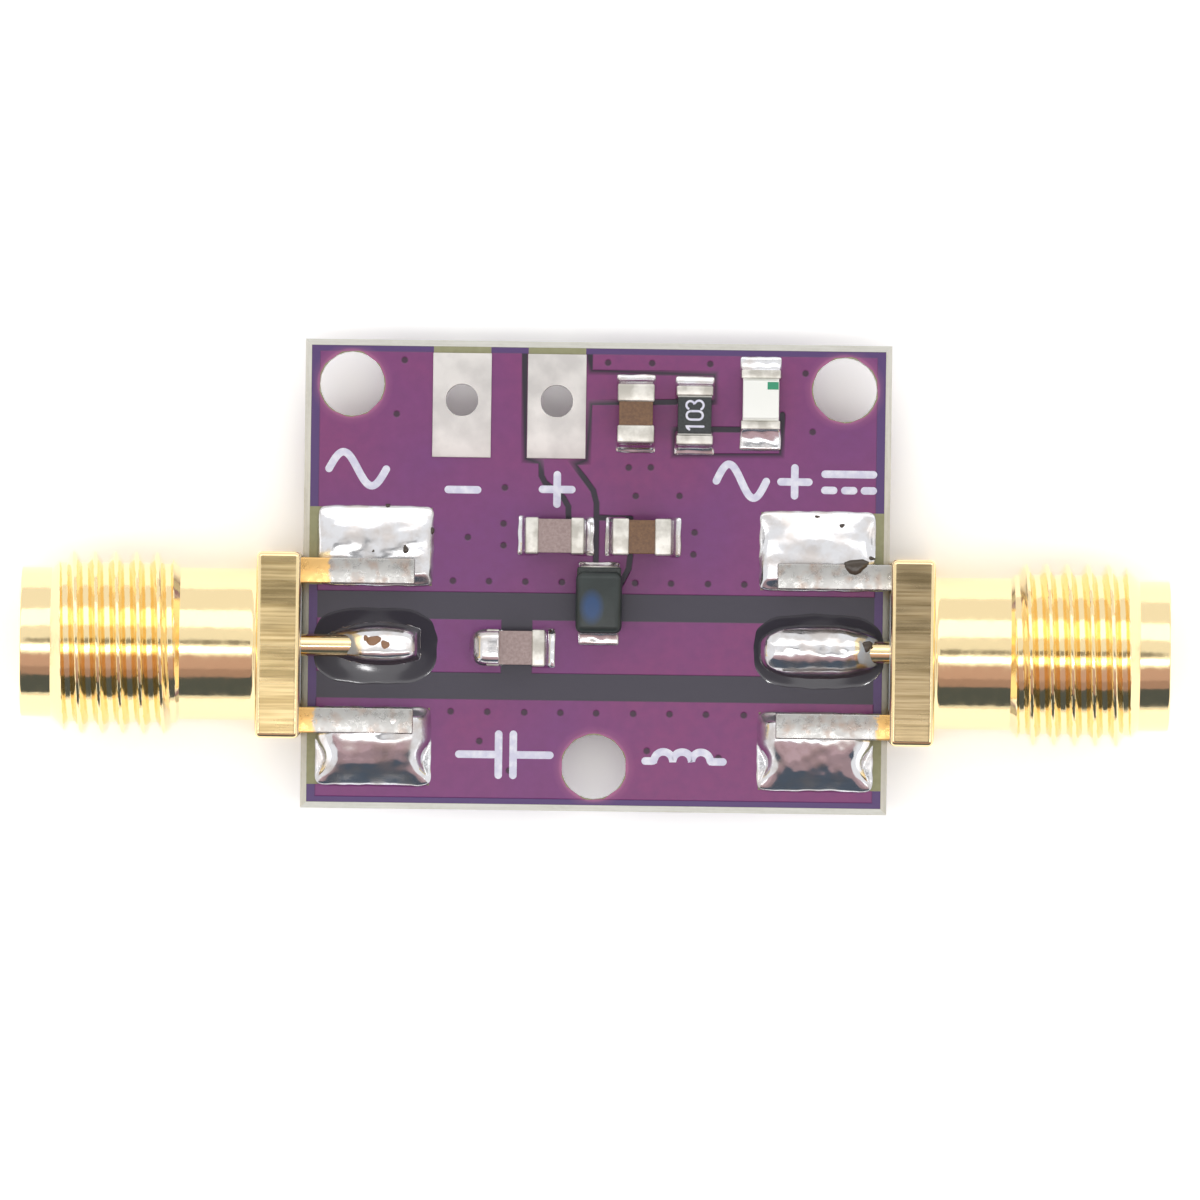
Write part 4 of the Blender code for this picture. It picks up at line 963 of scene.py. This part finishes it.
def puddle(name, low, high, height, floor, nodes, up=1, step=0.035, corner=12.0, rim=0.1, ragged=0.01,
           seed=1, material=SOLDER):
    """A pool on a pad, worked out on a square grid.

    The grid is pulled onto a rounded rectangle, lifted by height(x, y), and brought down to
    the floor over the rim. Its underside is one flat face."""
    middle = (np.array(low) + np.array(high)) / 2
    half = (np.array(high) - np.array(low)) / 2
    columns, rows = (int(2 * size / step) + 3 for size in half)
    u, v = np.meshgrid(np.linspace(-1, 1, columns), np.linspace(-1, 1, rows))
    square = np.maximum(np.abs(u), np.abs(v))
    oval = (np.abs(u) ** corner + np.abs(v) ** corner) ** (1 / corner)
    pull = np.where(oval > 0, square / np.maximum(oval, 1e-9), 1)
    x = middle[0] + half[0] * u * pull
    y = middle[1] + half[1] * v * pull
    outer = square**6
    x = x + ragged * outer * waves(x, y, 0.7, seed)
    y = y + ragged * outer * waves(x, y, 0.7, seed + 1)
    inward = np.minimum(half[0] * (1 - square), half[1] * (1 - square))
    edge = np.sqrt(1 - (1 - np.clip(inward / rim, 0, 1)) ** 2)
    points = np.stack([x, y, floor + up * height(x, y) * edge], axis=-1)
    index = np.arange(rows * columns).reshape(rows, columns)
    border = np.concatenate([index[0, :-1], index[:-1, -1], index[-1, :0:-1], index[:0:-1, 0]])
    faces = grid_faces(rows, columns) + [border[::-1].tolist()]
    if up < 0:
        faces = [face[::-1] for face in faces]
    new_piece(name, points, faces, material, "solder", *nodes, sharp=80)


def leg_joint(facing, side, level, top, curve, tip, waist, seed, bulge=(0.0, 0.5, 0.5, 0.3)):
    """Solder on a leg's land: a pool that falls from the leg's side to the land's edge.

    Its fall is a power of the distance from the leg, so a high curve keeps it flat near the
    leg. Its ends fall as a power of the distance along the land (tip), and its waist draws
    them in. One bulge or dish is added: its height, its place along and out, and its size."""
    leg_y = AXIS_Y + side * LEG_SPACING / 2
    swell, bulge_along, bulge_out, bulge_size = bulge

    def height(x, y):
        out = side * (y - leg_y) - LEG_WIDTH / 2
        fall = np.clip(out / (LAND_OUTER - LEG_WIDTH / 2), 0, 1)
        share = (FLANGE_BACK - np.abs(x) - LAND_FROM_FLANGE) / LAND_LENGTH
        along = np.abs(2 * share - 1) / (1 - waist * np.sin(math.pi * fall) ** 2)
        ends = 1 - np.clip(along, 0, 1) ** tip
        away = ((share - bulge_along) / bulge_size) ** 2 + ((fall - bulge_out) / bulge_size) ** 2
        # Long swells of the skin, and short ripples that are higher on a high pool.
        ripple = 0.018 * waves(x, y, 1.5, seed) + 0.007 * top * waves(x, y, 0.45, seed + 9)
        # On the leg's far side the pool is a third as high.
        inner = smooth_step((out + 0.9) / 0.4) * 0.7 + 0.3
        body = (top - FILM) * (1 - fall**curve) * inner
        return FILM + (body + swell * np.exp(-away) + ripple * (1 - fall**4)) * ends

    low_y, high_y = sorted([leg_y - side * LAND_INNER_SIDE, leg_y + side * LAND_OUTER])
    near = FLANGE_BACK - LAND_FROM_FLANGE
    low_x, high_x = sorted([facing * near, facing * (near - LAND_LENGTH)])
    words = ("left", "right"), ("front", "rear"), ("bottom", "top")
    name = "_".join(pair[sign > 0] for pair, sign in zip(words, (facing, side, level)))
    floor = SOLDER_FLOOR if level > 0 else BOARD_BOTTOM - SEAT
    corners = (low_x, low_y), (high_x, high_y)
    puddle(f"{name}_leg_joint", *corners, height, floor, [f"{name}_leg_solder"], up=level, seed=seed)
    return height


def left_tail_height(x, y):
    """A drop that climbs beside the tail, covers its inner half and stops short of the pad's end."""
    start, length = -9.1, 3.13
    share = np.clip((x - start) / length, 0, 1)
    half = 0.72 - 0.3 * np.abs(2 * share - 1.15) ** 2.2
    across = np.clip((y - AXIS_Y - 0.08) / half, -1, 1)
    ends = np.clip(1 - np.abs(2 * share - 1) ** 7, 0, 1) ** 0.5
    middle = 0.56 + 0.4 * smooth_step((share - 0.12) / 0.3)
    drop = middle * ends * (1 - np.abs(across) ** 3.6) ** 0.6 * (1 - 0.2 * across)
    return 0.01 + drop + 0.014 * waves(x, y, 0.8, 31) * (1 - across**2)


def right_tail_height(x, y):
    """A long oval dome over all but the outer end of the tail."""
    middle_x, half_length = 7.62, 2.1
    along = np.clip(np.abs(x - middle_x) / half_length, 0, 1)
    half = 0.95 * (1 - 0.25 * smooth_step((x - 8.2) / 1.4))
    across = np.clip(np.abs(y - AXIS_Y - 0.03) / half, 0, 1)
    dome = (1 - along**4) ** 0.5 * (1 - across**2.2) ** 0.6
    return 0.02 + 1.02 * dome + 0.012 * waves(x, y, 1.2, 37) + 0.006 * waves(x, y, 0.4, 38)


def add_flux(name, low, high, middle_x):
    """A thin skin of set flux that climbs as a square towards the solder in its middle."""
    reach = ((high[0] - low[0]) / 2, (high[1] - low[1]) / 2)

    def height(x, y):
        away = np.hypot((x - middle_x) / reach[0], (y - AXIS_Y) / reach[1])
        return 0.012 + 0.13 * np.clip(1 - away, 0, 1) ** 2

    puddle(name, low, high, height, BOARD_TOP + MASK_HIGH, [], corner=3.2, ragged=0.015, rim=0.35,
           seed=26, material=FLUX)


def add_tail_joints():
    """The contacts' tails: a lens on half of the left one, a long dome over the right one,
    both in a pool of set flux."""
    low = AXIS_Y - 0.93
    high = AXIS_Y + 0.93
    puddle("left_tail_joint", (-9.2, low), (-5.75, high), left_tail_height, SOLDER_FLOOR,
           ["left_tail_solder"], corner=3.6, rim=0.06, seed=21)
    puddle("right_tail_joint", (5.55, low), (9.75, high), right_tail_height, SOLDER_FLOOR,
           ["right_tail_solder"], corner=2.7, seed=24)
    add_flux("left_flux", (-9.6, AXIS_Y - 1.3), (-5.4, AXIS_Y + 1.3), -7.5)
    add_flux("right_flux", (5.4, AXIS_Y - 1.27), (9.83, AXIS_Y + 1.27), 7.6)


def add_specks(name, spots, height, material=BURNT_FLUX):
    """Drops of burnt flux: low domes, each given as (x, y, length, width), on the solder."""
    points = []
    faces = []
    segments = 12
    ring = np.linspace(0, TURN, segments, endpoint=False)
    # Each dome's rings, as shares of its size and heights above the solder.
    rings = ((1.0, -0.03), (0.85, 0.02), (0.45, 0.045))
    for number, (x, y, length, width) in enumerate(spots):
        level = SOLDER_FLOOR + float(height(np.array(x), np.array(y)))
        wobble = 1 + 0.15 * np.sin(3 * ring + number) + 0.1 * np.sin(2 * ring + 2 * number)
        faces += capped(len(rings), segments, number * len(rings) * segments)
        for share, lift in rings:
            points.append(np.stack([x + length / 2 * share * wobble * np.cos(ring),
                                    y + width / 2 * share * wobble * np.sin(ring),
                                    level + lift + 0 * ring], -1))
    new_piece(name, np.vstack(points), faces, material, "solder")


# Chips

# The words for a chip's two ends, where it lies along the board or across it.
SIDEWAYS = ("left", "right")
UPWARDS = ("lower", "upper")
# A joint's raised lip, how steeply it climbs to the chip, and its height's share beside the chip.
LIP = 0.09
STEEPNESS = 1.25
BESIDE = 0.35


def add_round_joint():
    """The blocking capacitor's left joint: a full drop of solder over the chip's end."""
    pad_low, _ = node_box("blocking_capacitor_left_solder")
    end_low, end_high = node_box("blocking_capacitor_left_terminal")
    middle = (end_low + end_high) / 2
    half_width = 0.67
    low = (pad_low[0] - 0.24, middle[1] - half_width)
    high = (end_high[0] + 0.34, middle[1] + half_width)
    crown = end_high[0] - 0.28

    def height(x, y):
        along = np.clip((crown - x) / (crown - low[0]), 0, 1)
        across = np.abs(y - middle[1]) / 0.7
        dome = np.sqrt(np.clip(1 - along**2.4 - across**5, 0, 1))
        return 0.04 + 1.02 * dome * smooth_step((end_high[0] - x) / 0.06 + 0.5)

    puddle("blocking_capacitor_left_joint", low, high, height, SOLDER_FLOOR,
           ["blocking_capacitor_left_solder"], step=FINE_STEP, corner=2.7, rim=0.06, seed=58)


def chip_joint(node, name, low, high, axis, direction, seed, top_share, longer, narrower):
    """Solder at a chip's end: a hollow quarter round from the terminal down to a raised lip."""
    pad_low, pad_high = node_box(node)
    pad_side, end_side = (pad_low, low) if direction < 0 else (pad_high, high)
    pad_side[axis] += direction * longer
    pad_low[1 - axis] += narrower
    pad_high[1 - axis] -= narrower
    reach = abs(pad_side[axis] - end_side[axis])
    top = (high[2] - pad_low[2]) * top_share
    middle = (low[1 - axis] + high[1 - axis]) / 2
    half_width = (high[1 - axis] - low[1 - axis]) / 2

    def height(x, y):
        point = (x, y)
        out = direction * (point[axis] - end_side[axis]) / reach
        left_over = 1 - np.clip(out * STEEPNESS, 0, 1)
        quarter = 1 - np.sqrt(np.maximum(1 - left_over**2, 0))
        beside = np.abs(point[1 - axis] - middle) - half_width
        slim = np.where(beside > 0, BESIDE, 1.0)
        return LIP + (top - LIP) * quarter * slim + 0.008 * waves(x, y, 0.5, seed)

    puddle(name, pad_low[:2], pad_high[:2], height, SOLDER_FLOOR, [node], step=FINE_STEP, rim=0.13, seed=seed)


def add_ends(node, name, ends, radius, seed, band=None, top_share=0.62, longer=(0.0, 0.0), narrower=0.0):
    """A chip's two plated ends, as long as the band where one is given, and their solder.

    The blocking capacitor's left end has a round joint of its own."""
    axis = 0 if ends == SIDEWAYS else 1
    for number, end in enumerate(ends):
        low, high = node_box(f"{node}_{end}_terminal")
        if band and number == 0:
            high[axis] = low[axis] + band
        elif band:
            low[axis] = high[axis] - band
        low[1 - axis] += narrower
        high[1 - axis] -= narrower
        terminal = f"{node}_{end}_terminal"
        block_piece(f"{name}_{end}_end", low, high, radius, CHIP_TIN, "tinned_chip_end", terminal)
        if (name, end) != ("blocking_capacitor", "left"):
            chip_joint(f"{node}_{end}_solder", f"{name}_{end}_joint", low, high, axis, (-1, 1)[number],
                       seed + number, top_share, longer[number], narrower)


def add_capacitor(name, ends, material, slot, seed, band=0.45):
    """A ceramic block between two plated ends, and its two joints."""
    axis = 0 if ends == SIDEWAYS else 1
    low, high = node_box(f"{name}_ceramic")
    low[axis] -= SEAT
    high[axis] += SEAT
    block_piece(f"{name}_body", low, high, 0.03, material, slot, f"{name}_ceramic")
    add_ends(name, name, ends, radius=0.06, seed=seed, band=band)


def add_resistor():
    """An alumina plate with plated ends and a black glaze that carries plain numbers."""
    low, high = node_box("led_resistor_alumina")
    block_piece("resistor_plate", low, high, 0.03, ALUMINA, "alumina", "led_resistor_alumina")
    glaze_low, glaze_high = node_box("led_resistor_glaze")
    # The glaze runs on to the plated ends, which are shorter than the solid's.
    further = 0.14
    glaze_low[1] -= further
    glaze_high[1] += further
    glaze_low[2] = high[2] - 0.02
    corners = glaze_low, glaze_high
    block_piece("resistor_glaze", *corners, 0.03, BLACK_GLAZE, "black_glaze", "led_resistor_glaze")
    add_ends("led_resistor", "resistor", UPWARDS, radius=0.05, seed=70, band=0.33, top_share=0.8)
    middle = (glaze_low + glaze_high) / 2
    size = 0.6
    spacing = 0.36
    digits = {
        "1": [(-0.03, 0.0), (-0.03, 1.0), (-0.2, 0.8)],
        "0": arc((0, 0.72), 0.24, 0, 180) + arc((0, 0.28), 0.24, 180, 360) + [(0.24, 0.72)],
        "3": arc((-0.02, 0.75), 0.23, 150, -80) + arc((-0.02, 0.26), 0.26, 80, -150),
    }
    paths = []
    for place, digit in enumerate("103"):
        across = [(place - 1) * spacing + x * size for x, _ in digits[digit]]
        up = [(y - 0.5) * size for _, y in digits[digit]]
        paths.append([(middle[0] - b, middle[1] + a) for a, b in zip(across, up)])
    drawn("resistor_number", paths, 0.08, glaze_high[2] - 0.002, 0.008, INK, "board")


def add_led():
    """A laminate base, a cloudy epoxy block with a green mark, and plated ends."""
    block_piece("led_carrier", *node_box("led_base"), 0.02, LED_EPOXY, "led_laminate", "led_base")
    low, high = node_box("led_lens")
    block_piece("led_window", low, high, 0.05, LED_EPOXY, "cloudy_epoxy", "led_lens")
    mark_low = (high[0] - 0.4, high[1] - 0.31, high[2] - 0.02)
    mark_high = (high[0] - 0.02, high[1] - 0.05, high[2] + 0.008)
    block_piece("led_mark", mark_low, mark_high, 0.012, GREEN_MARK, "cloudy_epoxy")
    add_ends("led", "led", UPWARDS, radius=0.03, seed=80)


def add_inductor():
    """The wound core keeps its CAD solids, under a resin cap with soft edges."""
    show("inductor_core", FERRITE)
    show("inductor_winding", WIRE_ENAMEL)
    low, high = node_box("inductor_resin_cap")
    # The cap hangs over the core, most of all in front, and reaches down its sides.
    low -= (0.04, 0.24, 0.3)
    high += (0.04, 0.02, 0.0)
    block_piece("inductor_cap", low, high, 0.26, RESIN, "dark_resin", "inductor_resin_cap")
    # The front foot's solder runs further out than its pad, and the rear foot's less far.
    longer = (0.14, -0.14)
    add_ends("inductor", "inductor", UPWARDS, radius=0.06, seed=90, longer=longer, narrower=0.15)


add_board()
add_wire_pad("minus")
add_wire_pad("plus")
add_legend()
for side_name, facing, wetted_rear, wetted_front in (("left", -1, 9.25, 9.75), ("right", 1, 10.3, 9.8)):
    add_jack_body(side_name, facing, wetted_rear, wetted_front)
    add_contact(side_name, facing)
    add_sleeve(side_name, facing)
    for side in (-1, 1):
        leg_joint(facing, side, -1, top=0.68, curve=1.5, tip=6, waist=0.1, seed=50 + side + 3 * facing)
upper_left = leg_joint(-1, 1, 1, top=0.34, curve=2.6, tip=8, waist=0.0, seed=41)
leg_joint(-1, -1, 1, top=0.88, curve=2.0, tip=5, waist=0.14, seed=42, bulge=(0.04, 0.62, 0.2, 0.16))
upper_right = leg_joint(1, 1, 1, top=0.42, curve=1.5, tip=5, waist=0.1, seed=47,
                        bulge=(0.07, 0.5, 0.45, 0.22))
leg_joint(1, -1, 1, top=0.86, curve=1.7, tip=5, waist=0.16, seed=44, bulge=(0.04, 0.25, 0.75, 0.16))
add_tail_joints()
add_specks("left_tail_crust", [(-7.55, -2.3, 0.5, 0.42), (-7.15, -2.42, 0.3, 0.36), (-7.8, -2.2, 0.22, 0.2)],
           left_tail_height, FLUX_CRUST)
add_specks("upper_left_specks", [(-7.13, 2.35, 0.16, 0.1), (-5.6, 1.5, 0.12, 0.28),
                                 (-6.5, 0.85, 0.22, 0.3), (-7.6, 0.78, 0.1, 0.1)], upper_left)
add_specks("upper_right_specks", [(8.35, 1.85, 0.2, 0.16), (7.5, 2.15, 0.18, 0.1),
                                  (9.35, 0.75, 0.3, 0.14)], upper_right)
add_specks("right_tail_burn", [(9.22, AXIS_Y + 0.2, 0.42, 0.4)], right_tail_height)
add_specks("upper_right_burn", [(8.83, 0.46, 0.84, 0.56)], lambda x, y: 0.0 * x + LEG_HEIGHT)
add_round_joint()
add_capacitor("blocking_capacitor", SIDEWAYS, GREY_CERAMIC, "grey_ceramic", seed=60)
add_capacitor("filter_capacitor_a", SIDEWAYS, GREY_CERAMIC, "grey_ceramic", seed=62)
add_capacitor("filter_capacitor_b", SIDEWAYS, BROWN_CERAMIC, "brown_ceramic", seed=64, band=0.56)
add_capacitor("input_capacitor", UPWARDS, BROWN_CERAMIC, "brown_ceramic", seed=66, band=0.6)
add_resistor()
add_led()
add_inductor()


# Stage: a white floor, a soft box, a lamp, and dark cards that give the metal its bands

ROLL = math.radians(0.76)
PIXELS_PER_MM = 29.35
PHOTO_SIDE = 1200
VIEW_X = 0.14
VIEW_Y = -0.787
CAMERA_HEIGHT = 700
SENSOR = 36


def add_camera():
    """A long lens straight above the board, rolled as in the photo."""
    data = bpy.data.cameras.new("camera")
    data.sensor_width = SENSOR
    data.lens = SENSOR * CAMERA_HEIGHT * PIXELS_PER_MM / PHOTO_SIDE
    data.clip_start = 0.01
    data.clip_end = 10
    camera = linked("camera", data)
    camera.location = (VIEW_X * MM, VIEW_Y * MM, (BOARD_TOP + CAMERA_HEIGHT) * MM)
    camera.rotation_euler = (0, 0, ROLL)
    bpy.context.scene.camera = camera


def panel(name, material, corners):
    """A flat stage piece with four corners, in metres."""
    mesh = bpy.data.meshes.new(name)
    mesh.from_pydata(corners, [], [(0, 1, 2, 3)])
    mesh.materials.append(material)
    made = linked(name, mesh)
    return made


def card(name, first, last, half_length, radiance, hex_colour="FFFFFF", middle=0.0, matt=False,
         distance=0.35):
    """A lit or dark panel across the axis, between two angles from overhead towards +Y.

    It shows in glossy reflections, and lights matt surfaces only where asked to."""
    material, tree = new_material(name)
    tree.nodes.clear()
    glow = add(tree, "Emission", Color=hex_colour, Strength=radiance)
    add(tree, "OutputMaterial", Surface=glow)
    left, right = middle - half_length, middle + half_length
    near, far = (
        (distance * math.sin(math.radians(angle)), distance * math.cos(math.radians(angle)))
        for angle in (first, last)
    )
    made = panel(name, material, [(left, *near), (right, *near), (right, *far), (left, *far)])
    made.visible_camera = False
    made.visible_diffuse = matt
    made.visible_shadow = False


def add_stage():
    """The surround, the cards and the floor, which a direct look or a reflection sees as white."""
    world = bpy.data.worlds.new("white surround")
    bpy.context.scene.world = world
    world.use_nodes = True
    tree = world.node_tree
    path = add(tree, "LightPath").outputs
    seen = add(tree, "MapRange", (path["Is Camera Ray"], 0, 1, 0.93, 1.0))
    sky = add(tree, "MapRange", (path["Is Diffuse Ray"], 0, 1, seen, 0.8))
    join(tree, tree.nodes["Background"], {"Strength": sky, "Color": "FFFFFF"})
    card("soft_box", 24, 51, 0.5, 1.8)
    card("camera_front", -1.5, 5, 0.09, 0.3)
    card("lamp", -14, -4.5, 0.4, 2.6, matt=True)
    for middle in (-0.09, -0.02, 0.04):
        card("bulb", -10.5, -8.5, 0.005, 40.0, middle=middle, distance=0.34)
    card("brown_card", -38, -18, 0.4, 0.57, "FFD9DC")
    card("far_brown_card", -51, -38, 0.4, 0.4, "FFD9DC")
    card("black_card", -84, -51, 0.4, 0.15, "C8DCF4")
    material, tree = new_material("white floor")
    tree.nodes.clear()
    path = add(tree, "LightPath").outputs
    seen = path["Is Camera Ray"]
    for other in ("Is Glossy Ray", "Is Transmission Ray"):
        seen = add(tree, "Math", (seen, path[other]), operation="MAXIMUM").outputs[0]
    shade = add(tree, "MapRange", (seen, 0, 1, 0.8, 1.45))
    matt = add(tree, "BsdfDiffuse", Color=shade)
    add(tree, "OutputMaterial", Surface=matt)
    panel("floor", material, [(-1, -1, 0), (1, -1, 0), (1, 1, 0), (-1, 1, 0)])
    bpy.context.scene.view_settings.view_transform = "Standard"


add_stage()
add_camera()
